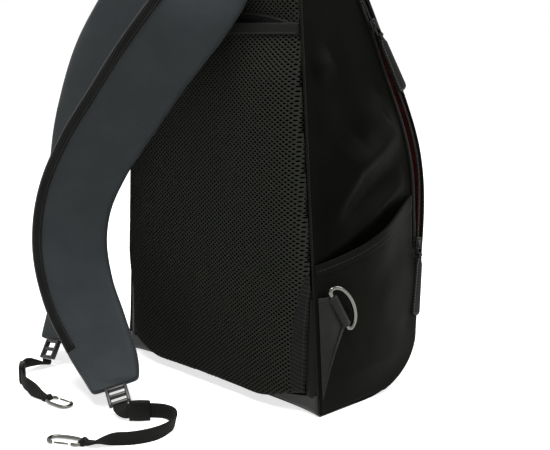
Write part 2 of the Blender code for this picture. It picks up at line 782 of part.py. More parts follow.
def wing(name, right):
    """Stitched triangular tab sewn in the back seam, folded round the ring's bar."""
    middle, bar, reach, outward, length = ring_frame()
    radius = RING_WIRE + LOOP_CLEARANCE + LOOP_WALL
    under = -outward * (radius - WING_THICKNESS / 2)
    seam_stand = SEAM_GAP + POCKET_THICKNESS + SEAM_GAP + WING_THICKNESS / 2
    half = length / 2 - RING_WIRE
    corners = [
        side_point(SEAM_GAP, WING_TOP, seam_stand),
        middle - bar * half + under,
        middle + bar * half + under,
        side_point(SEAM_GAP, WING_BOTTOM, seam_stand),
    ]
    edit = bmesh.new()
    rows, columns = 5, 4
    bmesh.ops.create_grid(edit, x_segments=columns, y_segments=rows, size=0.5)
    for vert in edit.verts:
        u, v = vert.co.x + 0.5, vert.co.y + 0.5
        seam = corners[3].lerp(corners[0], v)
        loop = corners[2].lerp(corners[1], v)
        waist = outward * WING_WAIST_SHARE * POCKET_BULGE * math.sin(math.pi * u)
        vert.co = mirrored(seam.lerp(loop, u) + waist, right)
    plate = add_object(name, edit, LEATHER_BLACK, 0.5)
    wall = thicken(plate, WING_THICKNESS, (1 if right else -1, 0, 0))
    wall.modifiers["thickness"].offset = 0.0
    turn = bar.to_track_quat("Z", "X").to_matrix().to_4x4()
    for label, size, reach_out, action in (
        ("fold", radius, 0.0, "UNION"),
        ("bore", RING_WIRE + LOOP_CLEARANCE, RING_WIRE, "DIFFERENCE"),
    ):
        tool_edit = bmesh.new()
        place = Matrix.Translation(middle) @ turn
        bmesh.ops.create_cone(
            tool_edit,
            cap_ends=True,
            segments=12,
            radius1=size,
            radius2=size,
            depth=2 * (half + reach_out),
            matrix=place,
        )
        for vert in tool_edit.verts:
            vert.co = mirrored(vert.co, right)
        boolean(plate, add_object(name + "_" + label, tool_edit, LEATHER_BLACK, 0.5), action)
    return plate


# Zip sliders and their pulls

def slider_frame(z):
    """Chain point on the right side, with directions up the chain, outward and frontward."""
    step = SLIDER_LENGTH
    low, high = z - step, z + step
    start = Vector((side_x(low, ZIP_INSET), BACK_Y + chain_depth(low, True), low))
    end = Vector((side_x(high, ZIP_INSET), BACK_Y + chain_depth(high, True), high))
    along = (end - start).normalized()
    outward = Vector((1, 0, LEAN)).normalized()
    front = outward.cross(along).normalized()
    if front.y < 0:
        front = -front
    outward = along.cross(front)
    if outward.x < 0:
        outward = -outward
    middle = Vector((side_x(z, ZIP_INSET + ZIP_TAPE_THICKNESS / 2), BACK_Y + chain_depth(z, True), z))
    return middle, along, outward, front


def local_turn(along, outward, front):
    """Rotation that takes X to the front, Y up the chain and Z outward."""
    return Matrix((front, along, outward)).transposed()


def plate_rise():
    return ZIP_TAPE_THICKNESS / 2 + ZIP_INSET + SLIDER_CLEARANCE


def link_rise():
    return plate_rise() + SLIDER_PLATE + BAIL_HEIGHT / 2


def slider(name, z):
    """Two plates joined by a neck between the chains, with a bail over the outer plate."""
    middle, along, outward, front = slider_frame(z)
    turn = local_turn(along, outward, front)
    gap = chain_gap(z, True)
    width = SLIDER_BACK_WIDTH + SLIDER_FRONT_WIDTH
    across = (SLIDER_FRONT_WIDTH - SLIDER_BACK_WIDTH) / 2
    rise = plate_rise()
    made = None
    solids = (
        ("outer", (across, 0, rise + SLIDER_PLATE / 2), (width, SLIDER_LENGTH, SLIDER_PLATE)),
        ("inner", (across, 0, -rise - SLIDER_PLATE / 2), (width, SLIDER_LENGTH, SLIDER_PLATE)),
        ("neck", (-gap / 2, 0, 0), (SLIDER_NECK_WIDTH, SLIDER_NECK_LENGTH, 2 * rise + SLIDER_PLATE)),
        ("bail", (0, 0, rise + SLIDER_PLATE + BAIL_HEIGHT / 2 + BAIL_THICKNESS / 2 - SLIDER_PLATE / 2),
         (BAIL_WIDTH, BAIL_LENGTH, BAIL_HEIGHT + BAIL_THICKNESS + SLIDER_PLATE)),
    )
    for label, centre, size in solids:
        edit = bmesh.new()
        box(edit, middle + turn @ Vector(centre), size, turn)
        tag = name if made is None else name + "_" + label
        piece = add_object(tag, edit, GUNMETAL, 0.25, 1.0, pivot=middle)
        if made is None:
            made = piece
        else:
            boolean(made, piece, "UNION")
    edit = bmesh.new()
    hole = (4 * BAIL_WIDTH, BAIL_LENGTH - 2 * BAIL_THICKNESS, BAIL_HEIGHT)
    box(edit, middle + turn @ Vector((0, 0, link_rise())), hole, turn)
    boolean(made, add_object(name + "_eye", edit, GUNMETAL, 0.25, 1.0, pivot=middle), "DIFFERENCE")
    return made


def pull_link(name, z):
    """Wire link through the slider's bail."""
    middle, along, outward, front = slider_frame(z)
    pivot = middle + outward * link_rise()
    half = LINK_WIDTH / 2 - LINK_WIRE
    corner = half * LINK_CORNER_SHARE
    points = []
    for end, start_angle in ((0.0, 0.0), (-LINK_LENGTH, math.pi)):
        for i in range(5):
            angle = start_angle + math.pi * i / 4
            side = half * math.cos(angle)
            bow = corner * math.sin(angle)
            inner = end - corner if end == 0.0 else end + corner
            points.append(front * side + along * (inner + bow))
    curve = bpy.data.curves.new(name, "CURVE")
    curve.dimensions = "3D"
    curve.bevel_depth = LINK_WIRE
    curve.bevel_resolution = 1
    spline = curve.splines.new("POLY")
    spline.points.add(len(points) - 1)
    for slot, point in zip(spline.points, points):
        slot.co = (*point, 1.0)
    spline.use_cyclic_u = True
    made = bpy.data.objects.new(name, curve)
    made.location = pivot
    bpy.context.scene.collection.objects.link(made)
    curve.materials.append(finish_material(name + "_finish", GUNMETAL, 0.25, 1.0))
    return made


def leather_pull(name, z):
    """Stitched leather tab folded round the link's lower end."""
    middle, along, outward, front = slider_frame(z)
    turn = local_turn(along, outward, front)
    pivot = middle + outward * link_rise() - along * LINK_LENGTH
    neck = LINK_WIDTH - 4 * LINK_WIRE - 2 * EYE_CLEARANCE
    edit = bmesh.new()
    half, neck_half, edge = PULL_WIDTH / 2, neck / 2, PULL_THICKNESS / 2
    right = [(neck_half, 0), (neck_half, -PULL_NECK_LENGTH), (half, -PULL_SHOULDER_LENGTH)]
    for i in range(3):
        angle = math.pi / 2 * i / 3
        right.append((half * math.cos(angle), -PULL_LENGTH + half * (1 - math.sin(angle))))
    outline = right + [(0, -PULL_LENGTH)] + [(-x, y) for x, y in reversed(right)]
    rings = [[pivot + turn @ Vector((x, y, level)) for x, y in outline] for level in (-edge, edge)]
    sweep(edit, rings)
    made = add_object(name, edit, LEATHER_BLACK, 0.5, pivot=pivot)
    axis = front.to_track_quat("Z", "X").to_matrix().to_4x4()
    for label, size, length, action in (
        ("fold", PULL_EYE_RADIUS, neck, "UNION"),
        ("bore", LINK_WIRE + EYE_CLEARANCE, 2 * neck, "DIFFERENCE"),
    ):
        tool = bmesh.new()
        bmesh.ops.create_cone(
            tool, cap_ends=True, segments=10, radius1=size, radius2=size, depth=length,
            matrix=Matrix.Translation(pivot) @ axis,
        )
        boolean(made, add_object(name + "_" + label, tool, LEATHER_BLACK, 0.5, pivot=pivot), action)
    return made


# Shoulder straps: points are (x, distance out from the back seam, height, width direction)

STRAP_SEAM_HEIGHT = 0.462
STRAP_SEAM_OUT = 2 * SEAM_GAP + ANCHOR_THICKNESS + STRAP_SEWN_THICKNESS / 2
SEAM_SPREAD = 0.046
ALONG_X = (1.0, 0.0, 0.0)
UPRIGHT = (0.0, 0.0, 1.0)
STRAP_ROUTES = {
    "right": (
        (SEAM_SPREAD, STRAP_SEAM_OUT, STRAP_SEAM_HEIGHT, ALONG_X),
        (0.046, 0.0115, 0.447, ALONG_X),
        (0.046, 0.0200, 0.430, (0.96, 0.10, -0.12)),
        (0.040, 0.0360, 0.406, (0.84, 0.30, -0.38)),
        (0.027, 0.054, 0.378, (0.66, 0.52, -0.55)),
        (-0.010, 0.072, 0.330, (0.57, 0.58, -0.57)),
        (-0.044, 0.083, 0.286, (0.60, 0.60, -0.52)),
        (-0.078, 0.093, 0.242, (0.63, 0.63, -0.42)),
        (-0.104, 0.101, 0.194, (0.67, 0.67, -0.28)),
        (-0.110, 0.106, 0.145, (0.70, 0.71, 0.00)),
        (-0.094, 0.108, 0.098, (0.68, 0.68, 0.20)),
        (-0.062, 0.110, 0.060, (0.66, 0.66, 0.36)),
        (-0.032, 0.115, 0.035, (0.68, 0.68, 0.26)),
        (-0.008, 0.125, 0.021, (0.70, 0.70, 0.10)),
    ),
    "left": (
        (-SEAM_SPREAD, STRAP_SEAM_OUT, STRAP_SEAM_HEIGHT, ALONG_X),
        (-0.046, 0.0115, 0.447, ALONG_X),
        (-0.056, 0.0200, 0.430, (0.97, 0.05, -0.22)),
        (-0.076, 0.0310, 0.406, (0.88, 0.10, -0.46)),
        (-0.104, 0.040, 0.370, (0.84, 0.10, -0.52)),
        (-0.136, 0.047, 0.326, (0.84, 0.10, -0.52)),
        (-0.160, 0.052, 0.272, (0.92, 0.10, -0.36)),
        (-0.174, 0.056, 0.214, (0.97, 0.10, -0.20)),
        (-0.180, 0.059, 0.156, (0.99, 0.10, 0.00)),
        (-0.178, 0.063, 0.104, (0.99, 0.10, 0.05)),
        (-0.174, 0.074, 0.056, ALONG_X),
        (-0.168, 0.094, 0.026, ALONG_X),
    ),
}
WEBBING_ROUTES = {
    "right": (
        (0.0290, 0.1374, 0.0104, UPRIGHT),
        (0.0363, 0.1291, 0.0104, UPRIGHT),
        (0.0436, 0.1209, 0.0104, UPRIGHT),
        (0.0520, 0.1130, 0.0098, UPRIGHT),
        (0.0640, 0.1110, 0.0090, (0.05, 0.20, 0.98)),
        (0.0770, 0.1190, 0.0088, (0.25, 0.10, 0.96)),
        (0.0850, 0.1340, 0.0086, (0.30, -0.10, 0.95)),
        (0.0870, 0.1520, 0.0086, (0.15, -0.25, 0.95)),
        (0.0800, 0.1720, 0.0086, (0.10, -0.30, 0.95)),
        (0.0650, 0.1880, 0.0086, (0.10, -0.20, 0.97)),
        (0.0480, 0.1980, 0.0086, UPRIGHT),
    ),
    "left": (
        (-0.1590, 0.1335, 0.0104, (0.50, 0.00, 0.86)),
        (-0.1500, 0.1450, 0.0104, UPRIGHT),
        (-0.1370, 0.1530, 0.0104, UPRIGHT),
        (-0.1240, 0.1610, 0.0104, UPRIGHT),
        (-0.1080, 0.1660, 0.0092, UPRIGHT),
        (-0.0900, 0.1660, 0.0086, UPRIGHT),
        (-0.0740, 0.1640, 0.0086, UPRIGHT),
    ),
}


KEEPER_STATIONS = {"right": 6, "left": 12}


def route_frames(route, steps):
    """Points, width directions and face directions along a smooth curve through a route."""
    points = [Vector((x, BACK_Y - out, z)) for x, out, z, _ in route]
    widths = [Vector((w[0], w[1], w[2])) for *_, w in route]
    last = len(route) - 1
    frames = []
    for i in range(steps + 1):
        place = last * i / steps
        index = min(int(place), last - 1)
        t = place - index
        centre = spline_value(points, index, t)
        tangent = spline_value(points, index, min(1.0, t + 0.02))
        tangent -= spline_value(points, index, max(0.0, t - 0.02))
        tangent.normalize()
        width = widths[index].lerp(widths[index + 1], t)
        width = (width - tangent * width.dot(tangent)).normalized()
        frames.append((centre, width, tangent.cross(width).normalized(), tangent))
    return frames


def spline_value(points, index, t):
    before = points[max(index - 1, 0)]
    start, end = points[index], points[index + 1]
    after = points[min(index + 2, len(points) - 1)]
    lean_in, lean_out = (end - before) / 2, (after - start) / 2
    return (
        start * (2 * t**3 - 3 * t**2 + 1)
        + end * (3 * t**2 - 2 * t**3)
        + lean_in * (t**3 - 2 * t**2 + t)
        + lean_out * (t**3 - t**2)
    )


def flat_ring(centre, width, face, half_width, half_thickness, edge_share):
    """Ring of a flat strap: full in the middle and thinner at its two edges."""
    shape = (
        (-1.0, -edge_share), (-0.55, -1.0), (0.55, -1.0), (1.0, -edge_share),
        (1.0, edge_share), (0.55, 1.0), (-0.55, 1.0), (-1.0, edge_share),
    )
    return [centre + width * half_width * a + face * half_thickness * b for a, b in shape]


def strap(name, side, pivot):
    """Padded shoulder strap, sewn to the back at its top and narrowed at its lower end."""
    steps = STRAP_STEPS
    rings = []
    for i, (centre, width, face, _) in enumerate(route_frames(STRAP_ROUTES[side], steps)):
        share = max(0.0, i / steps - STRAP_TAPER_START) / (1 - STRAP_TAPER_START)
        wide = STRAP_WIDTH + (STRAP_END_WIDTH - STRAP_WIDTH) * share * share
        thick = STRAP_SEWN_THICKNESS if i in (0, steps) else STRAP_THICKNESS
        rings.append(flat_ring(centre, width, face, wide / 2, thick / 2, STRAP_EDGE_SHARE))
    return add_object(name, sweep(bmesh.new(), rings), BLACK_TWILL, 0.6, pivot=pivot)


def strap_end(side):
    return route_frames(STRAP_ROUTES[side], STRAP_STEPS)[-1]


def webbing_frames(side):
    """The webbing leaves the adjuster square to it, then follows its own route."""
    centre, width, _, tangent = strap_end(side)
    start = centre + tangent * (ADJUSTER_LENGTH + 2 * SEAM_GAP)
    next_point = start + tangent * ADJUSTER_LENGTH / 4
    route = [(*from_seam(point), tuple(width)) for point in (start, next_point)]
    return route_frames(route + list(WEBBING_ROUTES[side]), WEBBING_STEPS)


def from_seam(point):
    return point.x, BACK_Y - point.y, point.z


def webbing(name, side, pivot):
    """Flat strap webbing from the adjuster to the hook."""
    rings = []
    for centre, width, face, _ in webbing_frames(side):
        half, edge = width * WEBBING_WIDTH / 2, face * WEBBING_THICKNESS / 2
        near, far = centre - edge, centre + edge
        rings.append([near - half, near + half, far + half, far - half])
    return add_object(name, sweep(bmesh.new(), rings), TAPE_BLACK, 0.7, pivot=pivot)


def adjuster(name, side, pivot):
    """Moulded ladder-lock block on the strap's end, which grips the webbing."""
    centre, width, face, tangent = strap_end(side)
    half_width, half_thickness = ADJUSTER_WIDTH / 2, ADJUSTER_THICKNESS / 2
    rings = []
    for along in (SEAM_GAP, SEAM_GAP + ADJUSTER_LENGTH):
        end = centre + tangent * along
        rings.append(flat_ring(end, width, face, half_width, half_thickness, ADJUSTER_EDGE_SHARE))
    return add_object(name, sweep(bmesh.new(), rings), HARD_BLACK, 0.45, pivot=pivot)


def keeper(name, side, station, pivot):
    """Leather sleeve that holds the webbing together."""
    centre, width, face, tangent = webbing_frames(side)[station]
    turn = Matrix((width, tangent, face)).transposed()
    inner = (WEBBING_WIDTH + 2 * KEEPER_CLEARANCE, WEBBING_THICKNESS + 2 * KEEPER_CLEARANCE)
    outer = (inner[0] + 2 * KEEPER_WALL, inner[1] + 2 * KEEPER_WALL)
    edit = bmesh.new()
    box(edit, centre, (outer[0], KEEPER_LENGTH, outer[1]), turn)
    made = add_object(name, edit, LEATHER_BLACK, 0.5, pivot=pivot)
    tool = bmesh.new()
    box(tool, centre, (inner[0], 2 * KEEPER_LENGTH, inner[1]), turn)
    boolean(made, add_object(name + "_bore", tool, LEATHER_BLACK, 0.5, pivot=pivot), "DIFFERENCE")
    return made


def hook_frame(side):
    centre, _, _, tangent = webbing_frames(side)[-1]
    flat_tangent = Vector((tangent.x, tangent.y, 0)).normalized()
    across = Vector((-flat_tangent.y, flat_tangent.x, 0))
    start = Vector((centre.x, centre.y, centre.z)) + tangent * SEAM_GAP
    return start, flat_tangent, across


def snap_hook(name, side, pivot):
    """Wire snap hook: a cross bar on the webbing and a bow open at one side for its gate."""
    start, along, across = hook_frame(side)
    level = Vector((0, 0, HOOK_WIRE + SEAM_GAP - start.z))
    base = start + along * HOOK_WIRE + level
    half = HOOK_WIDTH / 2
    points = [base + along * (HOOK_LENGTH * HOOK_STUB_SHARE) + across * half, base + across * half]
    points += [base - across * half, base - across * half + along * (HOOK_LENGTH - half)]
    for i in range(1, 7):
        angle = math.pi * i / 6
        reach = along * (HOOK_LENGTH - half + half * math.sin(angle))
        points.append(base + reach - across * half * math.cos(angle))
    return tube(name, points, HOOK_WIRE, pivot)


def hook_gate(name, side):
    """Sprung gate that closes the hook's bow and turns at its root."""
    start, along, across = hook_frame(side)
    level = Vector((0, 0, HOOK_WIRE + SEAM_GAP - start.z))
    base = start + along * HOOK_WIRE + level + across * HOOK_WIDTH / 2
    root = base + along * (HOOK_LENGTH * HOOK_STUB_SHARE + GATE_GAP)
    tip = base + along * (HOOK_LENGTH - HOOK_WIDTH / 2 - GATE_GAP)
    return tube(name, [root, tip], GATE_WIRE, root)


def tube(name, points, radius, pivot):
    curve = bpy.data.curves.new(name, "CURVE")
    curve.dimensions = "3D"
    curve.bevel_depth = radius
    curve.bevel_resolution = 1
    curve.use_fill_caps = True
    spline = curve.splines.new("POLY")
    spline.points.add(len(points) - 1)
    for slot, point in zip(spline.points, points):
        slot.co = (*(point - Vector(pivot)), 1.0)
    made = bpy.data.objects.new(name, curve)
    made.location = pivot
    bpy.context.scene.collection.objects.link(made)
    curve.materials.append(finish_material(name + "_finish", GUNMETAL, 0.25, 1.0))
    return made


def grab_handle(pivot):
    """Padded webbing loop that stands on the top panel."""
    steps = 10
    rings = []
    for i in range(steps + 1):
        angle = math.pi * i / steps
        outward = Vector((math.cos(angle), 0, math.sin(angle)))
        rise = HANDLE_RISE * math.sin(angle) ** 0.8
        centre = Vector((HANDLE_SPAN / 2 * math.cos(angle), pivot[1], pivot[2] + rise))
        across = Vector((0, 1, 0))
        half_width, half_thickness = HANDLE_WIDTH / 2, HANDLE_THICKNESS / 2
        rings.append(flat_ring(centre, across, outward, half_width, half_thickness, HANDLE_EDGE_SHARE))
    return add_object("grab_handle", sweep(bmesh.new(), rings), LEATHER_BLACK, 0.6, pivot=pivot)


def strap_anchor():
    """Sewn patch above the mesh pad that carries both straps."""

    def place(u, v):
        z = PAD_TOP + SEAM_GAP + (ANCHOR_TOP - PAD_TOP - SEAM_GAP) * v
        return back_half(z) * (2 * u - 1), BACK_Y - SEAM_GAP, z

    made = add_object("strap_anchor", grid(2, 3, place), COATED_BLACK, 0.5)
    return thicken(made, ANCHOR_THICKNESS, (0, -1, 0))


def build():
    clear_scene()
    hinge = (0, BACK_Y + profile_depth(HINGE_HEIGHT) + FRONT_CROWN, HINGE_HEIGHT)
    back_board()
    bottom_panel()
    bottom_board()
    top_panel()
    front_lower_panel()
    body_lining()
    racket_divider()
    for side, right in (("right", True), ("left", False)):
        side_panel("side_panel_" + side, right)
        side_pocket("side_pocket_" + side, right)
        sleeve_side("sleeve_side_" + side, right)
        wing("wing_" + side, right)
        d_ring("d_ring_" + side, right)
        seam = (SEAM_SPREAD if right else -SEAM_SPREAD, BACK_Y - STRAP_SEAM_OUT, STRAP_SEAM_HEIGHT)
        strap("strap_" + side, side, seam)
        adjuster("adjuster_" + side, side, seam)
        webbing("webbing_" + side, side, seam)
        keeper("keeper_" + side, side, KEEPER_STATIONS[side], seam)
        snap_hook("hook_" + side, side, seam)
        hook_gate("hook_gate_" + side, side)
    sleeve = (SLEEVE_BOTTOM, SLEEVE_TOP, SLEEVE_GAP, SLEEVE_THICKNESS, SLEEVE_CROWN, SLEEVE_TOP)
    pad = (PAD_BOTTOM, PAD_TOP, 0.0, PAD_THICKNESS, PAD_CROWN, PAD_BOTTOM)
    padded_back("back_sleeve", sleeve)
    padded_back("back_pad", pad)
    hem_tape("sleeve_tape", sleeve)
    hem_tape("pad_tape", pad)
    sleeve_foot()
    strap_anchor()
    grab_handle((0, BACK_Y + gusset_depth(PACK_HEIGHT) / 2, PACK_HEIGHT + SEAM_GAP))
    flap_tray("front_flap", 0.0, FLAP_THICKNESS, BLACK_TWILL, 0.55, hinge)
    flap_tray("flap_lining", FLAP_THICKNESS + SEAM_GAP, LINING_THICKNESS, LINING_RED, 0.6, hinge)
    zip_tape("zip_tape_body", True)
    zip_tape("zip_tape_flap", False, hinge)
    for level, z in (("upper", UPPER_SLIDER_HEIGHT), ("lower", LOWER_SLIDER_HEIGHT)):
        slider("slider_" + level, z)
        pull_link("pull_link_" + level, z)
        leather_pull("leather_pull_" + level, z)


build()
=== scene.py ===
import json
import math

import bmesh
import bpy
from mathutils import Matrix, Vector, noise
from mathutils.bvhtree import BVHTree


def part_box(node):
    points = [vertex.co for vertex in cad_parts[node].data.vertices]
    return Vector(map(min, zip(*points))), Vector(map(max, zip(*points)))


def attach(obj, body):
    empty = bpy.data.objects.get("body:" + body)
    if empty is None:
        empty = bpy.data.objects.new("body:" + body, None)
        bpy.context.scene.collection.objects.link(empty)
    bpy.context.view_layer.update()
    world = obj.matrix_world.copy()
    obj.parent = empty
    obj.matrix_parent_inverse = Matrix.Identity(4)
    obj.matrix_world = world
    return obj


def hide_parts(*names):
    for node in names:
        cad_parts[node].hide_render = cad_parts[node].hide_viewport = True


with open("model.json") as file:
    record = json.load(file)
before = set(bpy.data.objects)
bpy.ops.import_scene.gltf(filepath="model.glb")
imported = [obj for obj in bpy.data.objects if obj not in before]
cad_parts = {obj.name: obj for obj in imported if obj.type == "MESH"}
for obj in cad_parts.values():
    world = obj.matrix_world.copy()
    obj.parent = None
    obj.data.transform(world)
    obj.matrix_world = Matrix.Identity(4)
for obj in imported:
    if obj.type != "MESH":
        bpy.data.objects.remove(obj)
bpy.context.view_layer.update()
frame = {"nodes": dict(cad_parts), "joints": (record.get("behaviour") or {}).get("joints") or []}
joints = {joint["name"]: joint for joint in frame["joints"]}
scene = bpy.context.scene
scene.view_settings.view_transform = "Standard"


# Studio: a pale floor that runs out into a white surround, and broad soft lamps.
# The camera stands off the bag's near lower corner, a little above its middle.

CAMERA_PLACE = (0.769, -0.7094, 0.367)
CAMERA_TURN = (78.86, 0.0, 45.7)
CAMERA_LENS = 65.45
FLOOR_SIDE = 60.0
FLOOR_COLOUR = "#f6f6f4"
FLOOR_GLOW, FAR_GLOW = 0.74, 1.0
GLOW_START, GLOW_END = 0.6, 2.2
AIM = Vector((0.0, 0.0, 0.20))
SURROUND_LIGHT = 0.05
LAMPS = (
    ("overhead_lamp", (-0.05, -0.42, 1.90), 1.0, 36.0),
    ("right_lamp", (0.95, -0.30, 1.65), 0.8, 14.5),
    ("front_lamp", (0.60, 1.70, 1.40), 1.2, 22.0),
)


def linear(colour):
    """Linear value of an sRGB hex colour."""
    channels = [int(colour[i:i + 2], 16) / 255 for i in (1, 3, 5)]
    return [c / 12.92 if c <= 0.04045 else ((c + 0.055) / 1.055) ** 2.4 for c in channels] + [1.0]


def add_node(tree, kind, inputs, **settings):
    """A shader node with its settings, its values and its links."""
    made = tree.nodes.new("ShaderNode" + kind)
    for name, value in settings.items():
        setattr(made, name, value)
    for socket, value in inputs.items():
        if isinstance(value, bpy.types.NodeSocket):
            tree.links.new(value, made.inputs[socket])
        else:
            made.inputs[socket].default_value = value
    return made


def new_finish(name):
    """A material, its node tree, its shader and the object's own coordinates."""
    made = bpy.data.materials.new(name)
    made.use_nodes = True
    tree = made.node_tree
    place = add_node(tree, "TexCoord", {}).outputs["Object"]
    return made, tree, tree.nodes["Principled BSDF"], place


def background_rays(tree):
    """One for a ray that shows the background: seen straight, mirrored or through glass."""
    rays = add_node(tree, "LightPath", {})
    straight = {0: rays.outputs["Is Camera Ray"], 1: rays.outputs["Is Transmission Ray"]}
    seen = add_node(tree, "Math", straight, operation="MAXIMUM")
    mirrored = {0: seen.outputs[0], 1: rays.outputs["Is Glossy Ray"]}
    return add_node(tree, "Math", mirrored, operation="MAXIMUM").outputs[0]


camera = bpy.data.objects.new("photo_camera", bpy.data.cameras.new("photo_camera"))
camera.data.lens = CAMERA_LENS
camera.location = CAMERA_PLACE
camera.rotation_euler = [math.radians(turn) for turn in CAMERA_TURN]
scene.collection.objects.link(camera)
scene.camera = camera

for lamp_name, lamp_place, lamp_size, lamp_power in LAMPS:
    lamp = bpy.data.objects.new(lamp_name, bpy.data.lights.new(lamp_name, "AREA"))
    lamp.data.size = lamp_size
    lamp.data.energy = lamp_power
    lamp.location = lamp_place
    lamp.rotation_euler = (AIM - Vector(lamp_place)).to_track_quat("-Z", "Y").to_euler()
    scene.collection.objects.link(lamp)

surround = bpy.data.worlds.new("white_surround")
surround.use_nodes = True
scene.world = surround
tree = surround.node_tree
strength = add_node(
    tree, "MapRange", {"Value": background_rays(tree), "To Min": SURROUND_LIGHT, "To Max": 1.0}
)
tree.links.new(strength.outputs[0], tree.nodes["Background"].inputs["Strength"])
tree.nodes["Background"].inputs["Color"].default_value = (1.0, 1.0, 1.0, 1.0)

floor_edit = bmesh.new()
bmesh.ops.create_grid(floor_edit, x_segments=2, y_segments=2, size=FLOOR_SIDE / 2)
floor_mesh = bpy.data.meshes.new("floor")
floor_edit.to_mesh(floor_mesh)
floor_edit.free()
floor = bpy.data.objects.new("floor", floor_mesh)
scene.collection.objects.link(floor)
floor_finish, tree, shader, place = new_finish("pale_floor")
shader.inputs["Base Color"].default_value = linear(FLOOR_COLOUR)
shader.inputs["Roughness"].default_value = 0.9
shader.inputs["Emission Color"].default_value = (1.0, 1.0, 1.0, 1.0)
away = add_node(tree, "VectorMath", {0: place}, operation="LENGTH")
fade = {"Value": away.outputs["Value"], "From Min": GLOW_START, "From Max": GLOW_END}
level = add_node(tree, "MapRange", {**fade, "To Min": FLOOR_GLOW, "To Max": FAR_GLOW})
glow = add_node(tree, "Math", {0: background_rays(tree), 1: level.outputs[0]}, operation="MULTIPLY")
tree.links.new(glow.outputs[0], shader.inputs["Emission Strength"])
floor_mesh.materials.append(floor_finish)


# Boards: die-cut sheets of black polyethylene that stiffen the back and the base.
# They are sewn in behind the cloth, so only a matt edge is ever seen.

BOARD_COLOUR = "#161615"
BOARD_GRAIN = 0.0008


def board_finish():
    """Extruded polyethylene: matt, with a faint pebble."""
    made, tree, shader, place = new_finish("black_polyethylene")
    pebble = add_node(tree, "TexNoise", {"Vector": place, "Scale": 1 / BOARD_GRAIN, "Detail": 2.0})
    bump = add_node(tree, "Bump", {"Height": pebble.outputs[0], "Strength": 0.3, "Distance": 0.0002})
    tree.links.new(bump.outputs[0], shader.inputs["Normal"])
    shader.inputs["Base Color"].default_value = linear(BOARD_COLOUR)
    shader.inputs["Roughness"].default_value = 0.55
    return made


for node in ("back_board", "bottom_board"):
    board_mesh = frame["nodes"][node].data
    board_mesh.materials.clear()
    board_mesh.materials.append(board_finish())


# Outline of the bag: a tall wedge that leans in at its sides, with a rounded foot and belly in front.
# Lining: thin red polyester sewn inside the board, the gusset and the flap.

PACK_HEIGHT = 0.480
BASE_WIDTH = 0.300
TOP_WIDTH = 0.232
CORNER_RADIUS = 0.070
BACK_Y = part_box("back_board")[0].y
FOOT_FLAT, FOOT_DEPTH, FOOT_HEIGHT = 0.068, 0.152, 0.055
BELLY_DEPTH, BELLY_HEIGHT = 0.174, 0.205
SHOULDER_DEPTH, SHOULDER_HEIGHT = 0.098, 0.390
TOP_DEPTH = 0.040
LEAN = (BASE_WIDTH - TOP_WIDTH) / 2 / PACK_HEIGHT
STRETCH = math.sqrt(1 + LEAN * LEAN)
# The lining's reds are its own red made lighter by painted light, so that it shows in the dark gap of the open zip.
LINING_SHADE_PLUS_PAINTED_LIGHT, LINING_LIT_PLUS_PAINTED_LIGHT = "#9a2a2e", "#d2474b"
LINING_THREAD = 0.0012
WAVE_TURN = math.tau / 20


def steady_curve(stations, at):
    """Cubic through (position, value) stations that never overshoots them."""
    rises = [(b[1] - a[1]) / (b[0] - a[0]) for a, b in zip(stations, stations[1:])]
    slopes = [rises[0]]
    for before, after in zip(rises, rises[1:]):
        slopes.append(0.0 if before * after <= 0 else 2 * before * after / (before + after))
    slopes.append(rises[-1])
    at = min(max(at, stations[0][0]), stations[-1][0])
    index = 0
    while at > stations[index + 1][0]:
        index += 1
    (start, low), (end, high) = stations[index], stations[index + 1]
    span = end - start
    t = (at - start) / span
    return (
        low * (2 * t**3 - 3 * t**2 + 1)
        + high * (3 * t**2 - 2 * t**3)
        + span * slopes[index] * (t**3 - 2 * t**2 + t)
        + span * slopes[index + 1] * (t**3 - t**2)
    )


def profile_depth(z):
    """Depth of the bag from its back seam to its front edge."""
    if z < FOOT_HEIGHT:
        rise = 1 - max(z, 0.0) / FOOT_HEIGHT
        return FOOT_FLAT + (FOOT_DEPTH - FOOT_FLAT) * math.sqrt(max(0.0, 1 - rise * rise))
    stations = (
        (FOOT_HEIGHT, FOOT_DEPTH),
        (BELLY_HEIGHT, BELLY_DEPTH),
        (SHOULDER_HEIGHT, SHOULDER_DEPTH),
        (PACK_HEIGHT, TOP_DEPTH),
    )
    return steady_curve(stations, z)


def side_x(z, inset=0.0):
    """Half width of the bag at a height."""
    return BASE_WIDTH / 2 - LEAN * z - inset * STRETCH


def smooth_step(low, high, value):
    t = min(1.0, max(0.0, (value - low) / (high - low)))
    return t * t * (3 - 2 * t)


def make_piece(name, edit, finish, body, nodes=(), sharp=40.0):
    """Turn an edited mesh into a piece that rides on a body."""
    mesh = bpy.data.meshes.new(name)
    edit.to_mesh(mesh)
    edit.free()
    mesh.shade_smooth()
    mesh.set_sharp_from_angle(angle=math.radians(sharp))
    mesh.materials.append(finish)
    piece = bpy.data.objects.new(name, mesh)
    scene.collection.objects.link(piece)
    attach(piece, body)
    if nodes:
        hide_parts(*nodes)
    return piece


def node_copy(node):
    """A merged copy of a frame node, with its triangles joined back into quads."""
    edit = bmesh.new()
    edit.from_mesh(frame["nodes"][node].data)
    bmesh.ops.remove_doubles(edit, verts=edit.verts, dist=0.00001)
    bmesh.ops.join_triangles(
        edit, faces=edit.faces, angle_face_threshold=math.radians(40), angle_shape_threshold=math.radians(60)
    )
    return edit


def round_off(piece, levels):
    """Smooth a piece by subdivision."""
    made = piece.modifiers.new("smooth", "SUBSURF")
    made.levels = levels
    made.render_levels = levels
    return piece


